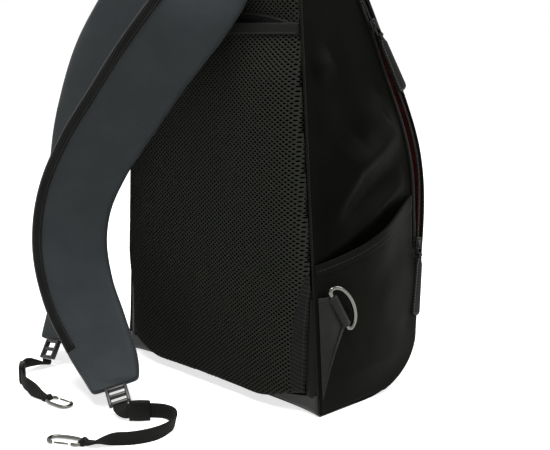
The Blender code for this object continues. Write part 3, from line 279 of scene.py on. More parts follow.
def lining_finish():
    """Plain-woven polyester: thin crossing threads and a dull shine, in a red lightened by painted light."""
    made, tree, shader, place = new_finish("red_lining_cloth_plus_painted_light")
    warp = add_node(tree, "TexWave", {"Vector": place, "Scale": WAVE_TURN / LINING_THREAD}, bands_direction="Z")
    weft = add_node(tree, "TexWave", {"Vector": place, "Scale": WAVE_TURN / LINING_THREAD}, bands_direction="Y")
    weave = add_node(tree, "Math", {0: warp.outputs["Fac"], 1: weft.outputs["Fac"]}, operation="MULTIPLY")
    shade = add_node(
        tree,
        "Mix",
        {0: weave.outputs[0], 6: linear(LINING_SHADE_PLUS_PAINTED_LIGHT), 7: linear(LINING_LIT_PLUS_PAINTED_LIGHT)},
        data_type="RGBA",
    )
    bump = add_node(tree, "Bump", {"Height": weave.outputs[0], "Strength": 0.3, "Distance": 0.0002})
    tree.links.new(shade.outputs[2], shader.inputs["Base Color"])
    tree.links.new(bump.outputs[0], shader.inputs["Normal"])
    shader.inputs["Roughness"].default_value = 0.55
    return made


red_lining = lining_finish()
for node, body in (("body_lining", "pack"), ("flap_lining", "flap")):
    make_piece(node + "_cloth", node_copy(node), red_lining, body, (node,), 50.0)


# Racket divider: a sheet of foam between two layers of lining, quilted in upright channels.
# It is sewn in at the base and at both sides, and its top edge is free.

QUILT_PITCH = 0.040
QUILT_DEPTH = 0.0016


def divider_cloth():
    low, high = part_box("racket_divider")
    columns, rows = 60, 60
    edit = bmesh.new()
    bmesh.ops.create_grid(edit, x_segments=columns, y_segments=rows, size=0.5)
    for vert in edit.verts:
        v = vert.co.y + 0.5
        z = low.z + (high.z - low.z) * v
        half = min(high.x - (z - low.z) * LEAN, high.x)
        x = 2 * vert.co.x * half
        channel = abs(math.sin(math.pi * x / QUILT_PITCH)) ** 0.5
        edge = min(1.0, 12 * min(v, 1 - v), 12 * (1 - abs(2 * vert.co.x)))
        vert.co = (x, low.y + 0.0012 - QUILT_DEPTH * 0.6 * channel * edge, z)
    back = bmesh.ops.duplicate(edit, geom=edit.verts[:] + edit.edges[:] + edit.faces[:])["geom"]
    middle = (low.y + high.y) / 2
    for vert in [item for item in back if isinstance(item, bmesh.types.BMVert)]:
        vert.co.y = 2 * middle - vert.co.y
    rims = [item for item in edit.edges if item.is_boundary]
    bmesh.ops.bridge_loops(edit, edges=rims)
    bmesh.ops.recalc_face_normals(edit, faces=edit.faces)
    return edit


divider = make_piece("racket_divider_pad", divider_cloth(), red_lining, "pack", ("racket_divider",))


# Sole: black coated nylon round the base board, turned up on the back as a low flange.
# It is sewn to the back and the sides, and its flange rises towards the two lower corners.

SOLE_SHADE = "#1b1b1a"
SOLE_CLOTH = 0.0016
SOLE_OUT = 0.0034
TURN_CORNER, TURN_MIDDLE = 0.005, 0.013
FLANGE_CORNER, FLANGE_SLOPE = 0.0216, 0.183
FLANGE_SHARE, TURN_SHARE = 0.3, 0.3
COATING_PEBBLE = 0.0011
COATING_GLOSS = 0.2


def sheet(columns, rows, point, outward):
    """A cloth panel laid out by point(u, v), with its faces turned outward."""
    edit = bmesh.new()
    bmesh.ops.create_grid(edit, x_segments=columns, y_segments=rows, size=0.5)
    for vert in edit.verts:
        vert.co = point(vert.co.x + 0.5, vert.co.y + 0.5)
    edit.normal_update()
    facing = sum((face.normal * face.calc_area() for face in edit.faces), Vector())
    if facing.dot(Vector(outward)) < 0:
        bmesh.ops.reverse_faces(edit, faces=edit.faces)
    return edit


def thicken(piece, thickness):
    """Give a cloth panel its thickness, inward from its face."""
    wall = piece.modifiers.new("cloth", "SOLIDIFY")
    wall.thickness = thickness
    wall.offset = -1.0
    return piece


def sole_point(u, v):
    across = 2 * u - 1
    turn = TURN_CORNER + (TURN_MIDDLE - TURN_CORNER) * (1 - abs(across) ** 6)
    flange = max(turn + SOLE_CLOTH, FLANGE_CORNER - FLANGE_SLOPE * BASE_WIDTH / 2 * (1 - abs(across)))
    turned = v - FLANGE_SHARE
    flat = turned - TURN_SHARE
    if turned < 0:
        z, out = turn - (flange - turn) * turned / FLANGE_SHARE, SOLE_OUT
    elif flat < 0:
        angle = math.pi / 2 * turned / TURN_SHARE
        z, out = turn * (1 - math.sin(angle)), SOLE_OUT - turn * (1 - math.cos(angle))
    else:
        start = SOLE_OUT - turn
        z, out = 0.0, start - (start + FOOT_FLAT) * flat / (1 - FLANGE_SHARE - TURN_SHARE)
    return side_x(z) * across, BACK_Y - out, z


def coated_finish(name, colour, roughness, pebble):
    """Coated cloth: a thin skin with a fine pebble over the weave."""
    made, tree, shader, place = new_finish(name)
    cells = add_node(tree, "TexVoronoi", {"Vector": place, "Scale": 1 / pebble})
    bump = add_node(tree, "Bump", {"Height": cells.outputs["Distance"], "Strength": 0.35, "Distance": 0.0003})
    tree.links.new(bump.outputs[0], shader.inputs["Normal"])
    shader.inputs["Base Color"].default_value = linear(colour)
    shader.inputs["Roughness"].default_value = roughness
    shader.inputs["Specular IOR Level"].default_value = COATING_GLOSS
    return made


coated_black = coated_finish("black_coated_nylon", SOLE_SHADE, 0.42, COATING_PEBBLE)
sole = make_piece(
    "sole", sheet(80, 40, sole_point, (0, -1, -1)), coated_black, "pack", ("bottom_panel",)
)
thicken(sole, SOLE_CLOTH)


# Sides and top: one soft gusset of dark satin twill, sewn to the back and to the zip.
# It is slack over the empty bag, so it hangs in a few slanted folds above the pockets.

HINGE_HEIGHT = joints["flap_open"]["pos_m"][2]
FLAP_SEW_GAP = 0.001
FLAP_TAPE = 0.0038
BODY_TAPE = 0.0055
CLOSED_GAP = 0.0006
SLIDER_SPREAD = 0.0024
SLIDER_LENGTH = 0.012
ZIP_GAPE = 0.0080
UPPER_SLIDER, LOWER_SLIDER = SHOULDER_HEIGHT - 0.020, HINGE_HEIGHT + 0.016
SETBACK_LOW, SETBACK_MIDDLE, SETBACK_TOP = 0.0114, 0.0170, 0.0124
SETBACK_FADE = 0.060
GUSSET_CLOTH = 0.0020
SIDE_SHADE, SIDE_LIT = "#090a08", "#121310"
CLOTH_GLOSS, SATIN_GLOSS = 0.04, 0.01
TWILL_RIB = 0.0024
FOLDS = (
    (
        ((0.090, 0.290), (0.078, 0.267), (0.050, 0.250), (0.014, 0.234), (-0.008, 0.208), (-0.030, 0.160)),
        0.019,
        0.0140,
    ),
    (((0.060, 0.302), (0.039, 0.281), (0.020, 0.264)), 0.014, 0.0045),
    (((0.096, 0.222), (0.072, 0.205), (0.040, 0.189), (0.0126, 0.177), (-0.041, 0.154)), 0.0115, 0.0105),
    (((-0.008, 0.340), (-0.034, 0.3235)), 0.013, 0.0034),
)


def chain_gap(z, right):
    """Gap between the half chains: the right side is unzipped between its sliders."""
    if not right:
        return CLOSED_GAP
    if LOWER_SLIDER <= z <= UPPER_SLIDER:
        share = (z - LOWER_SLIDER) / (UPPER_SLIDER - LOWER_SLIDER)
        return CLOSED_GAP + SLIDER_SPREAD + (ZIP_GAPE - SLIDER_SPREAD) * math.sin(math.pi * share)
    away = min(abs(z - LOWER_SLIDER), abs(z - UPPER_SLIDER))
    return CLOSED_GAP + SLIDER_SPREAD * max(0.0, 1 - away / (2 * SLIDER_LENGTH))


def zip_setback(z):
    """How far the gusset's half chain lies behind the bag's front edge: most between the sliders."""
    stations = (
        (HINGE_HEIGHT, SETBACK_LOW),
        (LOWER_SLIDER + SETBACK_FADE, SETBACK_MIDDLE),
        (UPPER_SLIDER - SETBACK_FADE, SETBACK_MIDDLE),
        (UPPER_SLIDER, SETBACK_TOP),
        (PACK_HEIGHT, SETBACK_TOP),
    )
    return steady_curve(stations, z)


def body_chain_depth(z):
    """Depth of the gusset's half chain."""
    return profile_depth(z) - zip_setback(z)


def chain_depth(z, right):
    """Depth of the flap's half chain."""
    return body_chain_depth(z) + chain_gap(z, right)


def gusset_depth(z):
    """Depth of the gusset's front edge, where the zip tape is sewn to it."""
    return body_chain_depth(z) - BODY_TAPE


ARCH_Z = PACK_HEIGHT - CORNER_RADIUS
ARCH_X = side_x(ARCH_Z, CORNER_RADIUS)
LEAN_ANGLE = math.atan(LEAN)


def outline_point(share, low, inset=0.0):
    """Point (x, z) on the bag's outline, from low on the right over the top to low on the left."""
    if share > 0.5:
        x, z = outline_point(1 - share, low, inset)
        return -x, z
    radius = CORNER_RADIUS - inset
    straight = (ARCH_Z + radius * math.sin(LEAN_ANGLE) - low) * STRETCH
    arc = radius * (math.pi / 2 - LEAN_ANGLE)
    along = 2 * share * (straight + arc + ARCH_X)
    if along < straight:
        z = low + along / STRETCH
        return side_x(z, inset), z
    if along < straight + arc:
        angle = LEAN_ANGLE + (along - straight) / radius
        return ARCH_X + radius * math.cos(angle), ARCH_Z + radius * math.sin(angle)
    return max(0.0, ARCH_X - (along - straight - arc)), ARCH_Z + radius


def fold_rise(y, z, folds):
    """Height of soft folds over a flat panel: rounded ridges along lines, faded at their ends."""
    rise = 0.0
    place = Vector((y, z))
    for line, width, height in folds:
        line = [Vector(point) for point in line]
        total = sum((end - start).length for start, end in zip(line, line[1:]))
        nearest, along, done = 1.0, 0.0, 0.0
        for start, end in zip(line, line[1:]):
            run = end - start
            share = min(1.0, max(0.0, (place - start).dot(run) / run.length_squared))
            away = (place - start - run * share).length
            if away < nearest:
                nearest, along = away, (done + share * run.length) / total
            done += run.length
        rise += height * math.sin(math.pi * along) * math.exp(-((nearest / width) ** 2))
    return rise


def ribs(tree, place, direction, pitch, waver):
    """Ribs across a direction, from 0 to 1, with a slight waver."""
    across = Vector(direction).normalized() * math.tau / pitch
    run = add_node(tree, "VectorMath", {0: place, 1: across}, operation="DOT_PRODUCT")
    stray = add_node(tree, "TexNoise", {"Vector": place, "Scale": 90.0, "Detail": 3.0})
    phase = add_node(tree, "Math", {0: stray.outputs[0], 1: waver, 2: run.outputs["Value"]}, operation="MULTIPLY_ADD")
    wave = add_node(tree, "Math", {0: phase.outputs[0]}, operation="SINE")
    return add_node(tree, "MapRange", {"Value": wave.outputs[0], "From Min": -1.0}).outputs[0]


def twill_finish(name, shade, lit, direction, pitch, sheen, depth, gloss=CLOTH_GLOSS):
    """Nylon twill: slanted ribs with a satin sheen, a little uneven in tone."""
    made, tree, shader, place = new_finish(name)
    rib = ribs(tree, place, direction, pitch, 3.0)
    cloud = add_node(tree, "TexNoise", {"Vector": place, "Scale": 35.0, "Detail": 4.0})
    blend = add_node(tree, "Math", {0: rib, 1: cloud.outputs[0]}, operation="MULTIPLY")
    tone = add_node(
        tree,
        "Mix",
        {0: blend.outputs[0], 6: linear(shade), 7: linear(lit)},
        data_type="RGBA",
    )
    bump = add_node(tree, "Bump", {"Height": rib, "Strength": 0.5, "Distance": depth})
    tree.links.new(tone.outputs[2], shader.inputs["Base Color"])
    tree.links.new(bump.outputs[0], shader.inputs["Normal"])
    shader.inputs["Roughness"].default_value = 0.42
    shader.inputs["Specular IOR Level"].default_value = gloss
    shader.inputs["Sheen Weight"].default_value = sheen
    shader.inputs["Sheen Roughness"].default_value = 0.35
    return made


side_twill = twill_finish(
    "black_satin_twill", SIDE_SHADE, SIDE_LIT, (0, 0.82, 0.57), TWILL_RIB, 0.004, 0.0003, SATIN_GLOSS
)
for side, sign in (("right", 1), ("left", -1)):
    node = "side_panel_" + side
    low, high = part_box(node)

    def side_point(u, v):
        z = low.z + (high.z - low.z) * v
        front = profile_depth(z) - 0.0010 if z < HINGE_HEIGHT else gusset_depth(z)
        depth = front * u
        y = BACK_Y + depth
        slack = min(1.0, 8 * u, 8 * (1 - u), 8 * (1 - v))
        lumps = 0.0012 * noise.noise(Vector((y, z, sign)) * 28)
        rise = fold_rise(y, z, FOLDS) + lumps
        return Vector((sign * (side_x(z) + slack * rise), y, z))

    panel = make_piece(
        node + "_twill", sheet(72, 150, side_point, (sign, 0, 0)), side_twill, "pack", (node,)
    )
    thicken(panel, GUSSET_CLOTH)


SIDE_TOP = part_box("side_panel_right")[1].z


def top_point(u, v):
    x, z = outline_point(v, SIDE_TOP)
    return Vector((x, BACK_Y + gusset_depth(z) * u, z))


top_twill = make_piece(
    "top_panel_twill", sheet(8, 90, top_point, (0, 0, 1)), side_twill, "pack", ("top_panel",)
)
thicken(top_twill, GUSSET_CLOTH)


# Front below the flap: the same twill, rounded up from the sole to the flap's hinge seam.
# It bulges a little over the filled bag.

FRONT_CROWN = 0.010
CROWN_FADE = 0.070
FRONT_SHADE, FRONT_LIT = "#0d0e0c", "#181916"


def front_crown(x, z):
    """How far the filled front bulges past its edges."""
    across = max(0.0, 1 - (x / side_x(z)) ** 2)
    below = min(1.0, max(0.0, z) / FOOT_HEIGHT)
    above = min(1.0, (PACK_HEIGHT - z) / CROWN_FADE)
    return FRONT_CROWN * across * below * max(0.0, above)


def front_point(u, v):
    turn = min(1.0, 2 * v)
    angle = math.pi / 2 * turn
    z = FOOT_HEIGHT * (1 - math.cos(angle))
    depth = FOOT_FLAT + (FOOT_DEPTH - FOOT_FLAT) * math.sin(angle)
    if v > 0.5:
        z = FOOT_HEIGHT + (HINGE_HEIGHT - FOOT_HEIGHT) * (2 * v - 1)
        depth = profile_depth(z)
    x = side_x(z, 0.0004) * (2 * u - 1)
    return Vector((x, BACK_Y + depth + front_crown(x, z), z))


front_twill = twill_finish(
    "black_front_twill", FRONT_SHADE, FRONT_LIT, (0.82, 0, 0.57), TWILL_RIB, 0.004, 0.0003, SATIN_GLOSS
)
edit = sheet(50, 40, front_point, (0, 1, 0))
front_low = make_piece("front_lower_twill", edit, front_twill, "pack", ("front_lower_panel",))
thicken(front_low, GUSSET_CLOTH)


# Front flap: twill over thin foam, with a turned edge sewn to the zip along its sides and top.
# It hinges on its lower seam and swings forward to open the whole bag.

FLAP_EDGE = 0.0024
FLAP_LUMP = 0.0010

flap_edit = node_copy("front_flap")
sharp_edges = [item for item in flap_edit.edges if item.calc_face_angle(0.0) > math.radians(50)]
bmesh.ops.bevel(
    flap_edit, geom=sharp_edges, offset=FLAP_EDGE / 2, segments=2, profile=0.5, affect="EDGES", material=-1
)
flap = make_piece("front_flap_twill", flap_edit, front_twill, "flap", ("front_flap",), 60.0)
round_off(flap, 2)


# Zip: woven tapes with a nylon coil, sewn between a fabric welt on the gusset and the flap's edge.
# On the right side it is undone between its two sliders, and the red lining shows in the gap.

ZIP_INSET = 0.0010
TOOTH_PITCH = 0.0024
TOOTH_SIZE = (0.0024, 0.0013, 0.0019)
WELT_RADIUS = 0.0019
WELT_BACK = 0.0005
PIPING_RADIUS = 0.0013
COIL_COLOUR = "#1f201f"
TAPE_SHADE, TAPE_LIT = "#131413", "#2a2b29"
CHAIN_STEPS = 900


def plain_finish(name, colour, roughness, gloss):
    """An even material, such as moulded nylon or thread."""
    made, tree, shader, place = new_finish(name)
    shader.inputs["Base Color"].default_value = linear(colour)
    shader.inputs["Roughness"].default_value = roughness
    shader.inputs["Specular IOR Level"].default_value = gloss
    return made


def rope(name, points, radius, finish, body, closed=False, nodes=()):
    """A round cord or wire along a line of points."""
    curve = bpy.data.curves.new(name, "CURVE")
    curve.dimensions = "3D"
    curve.bevel_depth = radius
    curve.bevel_resolution = 4
    curve.use_fill_caps = True
    spline = curve.splines.new("POLY")
    spline.points.add(len(points) - 1)
    for slot_point, point in zip(spline.points, points):
        slot_point.co = (*point, 1.0)
    spline.use_cyclic_u = closed
    curve.materials.append(finish)
    made = bpy.data.objects.new(name, curve)
    scene.collection.objects.link(made)
    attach(made, body)
    if nodes:
        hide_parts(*nodes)
    return made


def chain_line(inset, depth_at, steps):
    """Points round the opening of the bag, from low on the right over the top to low on the left."""
    line = []
    for i in range(steps + 1):
        x, z = outline_point(i / steps, HINGE_HEIGHT, inset)
        line.append(Vector((x, BACK_Y + depth_at(z, x > 0), z)))
    return line


def add_balls(edit, places, rings):
    """Copies of one small ball, each stretched, turned and set by its matrix."""
    ball = bmesh.new()
    bmesh.ops.create_uvsphere(ball, u_segments=7, v_segments=rings, radius=0.5)
    ball.verts.index_update()
    for place in places:
        verts = [edit.verts.new(place @ vert.co) for vert in ball.verts]
        for face in ball.faces:
            edit.faces.new([verts[vert.index] for vert in face.verts])
    ball.free()
    return edit


def teeth(line, start, side):
    """Coil turns set at an even pitch along a line, standing to one side of it."""
    places = []
    due = start
    for before, after in zip(line, line[1:]):
        due -= (after - before).length
        if due > 0:
            continue
        due += TOOTH_PITCH
        along = (after - before).normalized()
        across = Vector((0, side, 0))
        outward = along.cross(across).normalized()
        across = outward.cross(along)
        turn = Matrix((across, along, outward)).transposed().to_4x4()
        size = Matrix.Diagonal((*TOOTH_SIZE, 1.0))
        places.append(Matrix.Translation(after + across * TOOTH_SIZE[0] * 0.35) @ turn @ size)
    return add_balls(bmesh.new(), places, 5)


tape_weave = twill_finish("black_zip_tape", TAPE_SHADE, TAPE_LIT, (0, 1, 0.4), 0.0011, 0.02, 0.0001)
for node, body in (("zip_tape_body", "pack"), ("zip_tape_flap", "flap")):
    make_piece(node + "_weave", node_copy(node), tape_weave, body, (node,))
coil = plain_finish("dark_nylon_coil", COIL_COLOUR, 0.35, 0.3)
flap_half = chain_line(ZIP_INSET, chain_depth, CHAIN_STEPS)
body_half = chain_line(ZIP_INSET, lambda z, right: body_chain_depth(z), CHAIN_STEPS)
make_piece("zip_coil_flap", teeth(flap_half, 0.0, 1), coil, "flap")
make_piece("zip_coil_body", teeth(body_half, TOOTH_PITCH / 2, -1), coil, "pack")
welt_line = chain_line(WELT_BACK, lambda z, right: gusset_depth(z) - WELT_BACK, 160)
rope("zip_welt", welt_line, WELT_RADIUS, side_twill, "pack")
piping_line = chain_line(WELT_BACK, lambda z, right: chain_depth(z, right) + FLAP_TAPE + FLAP_SEW_GAP + 0.001, 160)
rope("flap_piping", piping_line, PIPING_RADIUS, side_twill, "flap")


# Sliders and wire links: die-cast zinc in gunmetal plate, rounded at every edge.
# Each slider runs on the two chains, and its link hangs in a bail on its outer face.

GUNMETAL = "#2e2e2c"
SLIDER_ROUND = 0.0004


def metal_finish(name, colour, roughness):
    """Plated metal with a faint polishing streak."""
    made, tree, shader, place = new_finish(name)
    streak = add_node(tree, "TexNoise", {"Vector": place, "Scale": 400.0, "Detail": 2.0})
    rough = add_node(
        tree, "MapRange", {"Value": streak.outputs[0], "To Min": roughness * 0.7, "To Max": roughness * 1.3}
    )
    tree.links.new(rough.outputs[0], shader.inputs["Roughness"])
    shader.inputs["Base Color"].default_value = linear(colour)
    shader.inputs["Metallic"].default_value = 1.0
    return made


gunmetal = metal_finish("gunmetal_plate", GUNMETAL, 0.34)
for level in ("upper", "lower"):
    edit = node_copy("slider_" + level)
    bmesh.ops.dissolve_limit(edit, angle_limit=0.02, verts=edit.verts, edges=edit.edges)
    corners = [item for item in edit.edges if item.calc_face_angle(0.0) > math.radians(50)]
    bmesh.ops.bevel(
        edit, geom=corners, offset=SLIDER_ROUND, segments=3, profile=0.5, affect="EDGES", material=-1
    )
    node = "slider_" + level
    make_piece(node + "_casting", edit, gunmetal, node, (node,))
    node = "pull_link_" + level
    round_off(make_piece(node + "_wire", node_copy(node), gunmetal, node, (node,), 80.0), 2)


# Leather pulls: two layers of black leather folded round the link and stitched along the edge.
# They are stiff, with a rounded square tip and a narrow neck.

PULL_LENGTH, PULL_WIDTH, PULL_THICKNESS = 0.064, 0.0125, 0.003
PULL_NECK, PULL_SHOULDER, SHOULDER_HALF = 0.0025, 0.010, 0.0050
PULL_CORNER = 0.0042
PULL_FOLD = 0.0023
PULL_ROUND = 0.0010
PULL_STITCH_INSET = 0.0019
LEATHER_COLOUR = "#181917"
LEATHER_GRAIN = 0.0012
LEATHER_GLOSS = 0.06
THREAD_COLOUR, PULL_THREAD_COLOUR = "#363735", "#62635f"
STITCH_LENGTH, STITCH_GAP, THREAD_THICKNESS = 0.0022, 0.0009, 0.0006


def leather_finish(name, colour, grain, roughness):
    """Grained leather: rounded pebbles, shiny on top and dull between."""
    made, tree, shader, place = new_finish(name)
    cells = add_node(tree, "TexVoronoi", {"Vector": place, "Scale": 1 / grain, "Smoothness": 0.6}, feature="SMOOTH_F1")
    wear = add_node(tree, "TexNoise", {"Vector": place, "Scale": 1 / grain / 4, "Detail": 4.0})
    height = add_node(tree, "Math", {0: cells.outputs["Distance"], 1: wear.outputs[0]}, operation="MULTIPLY")
    bump = add_node(tree, "Bump", {"Height": height.outputs[0], "Strength": 0.5, "Distance": 0.0005}, invert=True)
    tree.links.new(bump.outputs[0], shader.inputs["Normal"])
    shader.inputs["Base Color"].default_value = linear(colour)
    shader.inputs["Roughness"].default_value = roughness
    shader.inputs["Specular IOR Level"].default_value = LEATHER_GLOSS
    return made


def stitch_row(edit, points, length=STITCH_LENGTH, gap=STITCH_GAP, thick=THREAD_THICKNESS):
    """Add rounded stitches of thread along a line of points."""
    due = length / 2
    places = []
    size = Matrix.Diagonal((thick, thick, length, 1.0))
    for start, end in zip(points, points[1:]):
        span = (end - start).length
        while due <= span and span > 0:
            turn = (end - start).to_track_quat("Z", "Y").to_matrix().to_4x4()
            places.append(Matrix.Translation(start.lerp(end, due / span)) @ turn @ size)
            due += length + gap
        due -= span
    return add_balls(edit, places, 6)


def slider_frame(z):
    """Directions at a slider: up the chain, outward and to the front."""
    low, high = z - SLIDER_LENGTH, z + SLIDER_LENGTH
    start = Vector((side_x(low, ZIP_INSET), chain_depth(low, True), low))
    end = Vector((side_x(high, ZIP_INSET), chain_depth(high, True), high))
    along = (end - start).normalized()
    front = Vector((1, 0, LEAN)).cross(along).normalized()
    front = front if front.y > 0 else -front
    outward = along.cross(front)
    return along, outward if outward.x > 0 else -outward, front


black_leather = leather_finish("black_leather", LEATHER_COLOUR, LEATHER_GRAIN, 0.45)
thread = plain_finish("grey_thread", THREAD_COLOUR, 0.6, CLOTH_GLOSS)
pull_thread = plain_finish("pale_thread", PULL_THREAD_COLOUR, 0.6, CLOTH_GLOSS)
for level, slider_height in (("upper", UPPER_SLIDER), ("lower", LOWER_SLIDER)):
    node = "leather_pull_" + level
    along, outward, front = slider_frame(slider_height)
    pivot = Vector(joints[node + "_swing"]["pos_m"])

    def pull_outline(inset):
        half = PULL_WIDTH / 2 - inset
        tip = PULL_LENGTH - inset
        line = [(PULL_NECK - 0.4 * inset, 0.002 + inset), (PULL_NECK - 0.4 * inset, 0.004)]
        line.append((SHOULDER_HALF - inset, PULL_SHOULDER))
        for way in (1, -1):
            for i in range(7):
                angle = math.pi / 2 * (i if way > 0 else 6 - i) / 6
                middle = half - PULL_CORNER + inset
                across = middle + (PULL_CORNER - inset) * math.cos(angle)
                line.append((way * across, tip - (PULL_CORNER - inset) * (1 - math.sin(angle))))
        line.append((inset - SHOULDER_HALF, PULL_SHOULDER))
        line += [(-PULL_NECK + 0.4 * inset, 0.004), (-PULL_NECK + 0.4 * inset, 0.002 + inset)]
        return [pivot + front * x - along * y for x, y in line]

    edit = bmesh.new()
    lift = outward * PULL_THICKNESS / 2
    plate = edit.faces.new([edit.verts.new(point - lift) for point in pull_outline(0.0)])
    grown = bmesh.ops.extrude_face_region(edit, geom=[plate])["geom"]
    tops = [item for item in grown if isinstance(item, bmesh.types.BMVert)]
    bmesh.ops.translate(edit, verts=tops, vec=2 * lift)
    bmesh.ops.recalc_face_normals(edit, faces=edit.faces)
    rims = [item for item in edit.edges if abs((item.verts[0].co - item.verts[1].co).dot(outward)) < 0.0005]
    bmesh.ops.bevel(edit, geom=rims, offset=PULL_ROUND, segments=3, profile=0.5, affect="EDGES", material=-1)
    axis = front.to_track_quat("Z", "X").to_matrix().to_4x4()
    bmesh.ops.create_cone(
        edit,
        cap_ends=True,
        segments=24,
        radius1=PULL_FOLD,
        radius2=PULL_FOLD,
        depth=2 * PULL_NECK,
        matrix=Matrix.Translation(pivot) @ axis,
    )
    make_piece(node + "_leather", edit, black_leather, node, (node,))
    edit = bmesh.new()
    for face_side in (1, -1):
        line = pull_outline(PULL_STITCH_INSET)
        stitch_row(edit, [point + outward * face_side * PULL_THICKNESS / 2 for point in line], thick=0.0009)
    make_piece(node + "_thread", edit, pull_thread, node)


# Side slip pockets: slack twill sewn along its back, foot and front, with a slanted doubled hem.
# The empty mouth gapes and is dark inside; a row of stitches holds the hem.

POCKET_CLOTH = 0.0012
POCKET_FOOT = 0.004
POCKET_BULGE = 0.016
POCKET_SEAM = 0.004
MOUTH_BACK, MOUTH_FRONT = 0.147, 0.197
MOUTH_DEPTH, MOUTH_SAG = 0.145, 1.25
POCKET_FULLNESS = 1.3
FRONT_SEAM_LOW, FRONT_SEAM_HIGH = 0.105, 0.150
HEM_WIDTH = 0.011
HEM_ROW = 0.0056
POCKET_SHADE, POCKET_LIT = "#11120f", "#1e1f1b"
POCKET_CREASES = (
    (((0.080, 0.058), (0.112, 0.096)), 0.010, -0.0024),
    (((0.020, 0.110), (0.080, 0.155)), 0.016, -0.0016),
)


def pocket_mouth(depth):
    return MOUTH_BACK + (MOUTH_FRONT - MOUTH_BACK) * (depth / MOUTH_DEPTH) ** MOUTH_SAG


def pocket_front(z):
    """Depth of the pocket's front seam, which leaves the front edge for the zip's welt."""
    share = smooth_step(FRONT_SEAM_LOW, FRONT_SEAM_HIGH, z)
    edge = profile_depth(z) * (1 - share) + gusset_depth(max(z, HINGE_HEIGHT)) * share
    return edge - POCKET_SEAM


def pocket_point(u, v, stand_off=0.0):
    """Point on the right pocket, from its back seam to its front and from its foot to its mouth."""
    z = POCKET_FOOT + (pocket_mouth(u * MOUTH_DEPTH) - POCKET_FOOT) * v
    y = BACK_Y + pocket_front(z) * u
    slack = math.sin(math.pi * u) ** POCKET_FULLNESS * min(1.0, 5 * v)
    stand = POCKET_BULGE * slack * (0.25 + 0.75 * v)
    stand += slack * (fold_rise(y, z, POCKET_CREASES) + 0.0008 * noise.noise(Vector((y, z, 3.0)) * 34))
    return Vector((side_x(z) + 0.0007 + stand + stand_off, y, z))


pocket_twill = twill_finish(
    "black_pocket_twill", POCKET_SHADE, POCKET_LIT, (0, 0.82, 0.57), TWILL_RIB, 0.01, 0.0002, SATIN_GLOSS
)
for side, sign in (("right", 1), ("left", -1)):
    mirror = Matrix.Diagonal((sign, 1.0, 1.0))
    node = "side_pocket_" + side
    edit = sheet(64, 72, lambda u, v: mirror @ pocket_point(u, v, 0.0014), (sign, 0, 0))
    pocket = make_piece(node + "_twill", edit, pocket_twill, "pack", (node,))
    thicken(pocket, POCKET_CLOTH)
    hem_share = HEM_WIDTH / MOUTH_BACK
    edit = sheet(64, 8, lambda u, v: mirror @ pocket_point(u, 1.003 - hem_share * (1 - v), 0.0022), (sign, 0, 0))
    hem = make_piece(node + "_hem", edit, pocket_twill, "pack")
    thicken(hem, 0.0026)
    edit = bmesh.new()
    stitch_row(edit, [mirror @ pocket_point(i / 80, 1 - HEM_ROW / MOUTH_BACK, 0.0022) for i in range(1, 80)])
    make_piece(node + "_thread", edit, thread, "pack")


# Wing tabs and D-rings: a doubled tab of black twill, sewn in each back seam and bound along its slant.
# Its fold carries a polished round-wire D-ring for the strap's snap hook, free to swing on its bar.

RING_WIRE = 0.0021
RING_DEPTH = 0.0142
RING_TILT = math.radians(12)
RING_MARGIN = 0.0045
BAR_LENGTH = 0.0401
WING_TOP, WING_BOTTOM = 0.117, 0.018
WING_CLOTH = 0.0026
WING_SEAM_STAND = 0.0040
WING_WAIST = 0.003
WING_HOLLOW = 0.007
WING_BAND, BAND_STAND = 0.0060, 0.0009
FOLD_RADIUS = 0.0046
TOP_ROWS = (0.0030, 0.0055)
WING_SHADE, WING_LIT = "#20201f", "#3a3a38"
WING_RIB = 0.0016
RING_COLOUR = "#60605c"

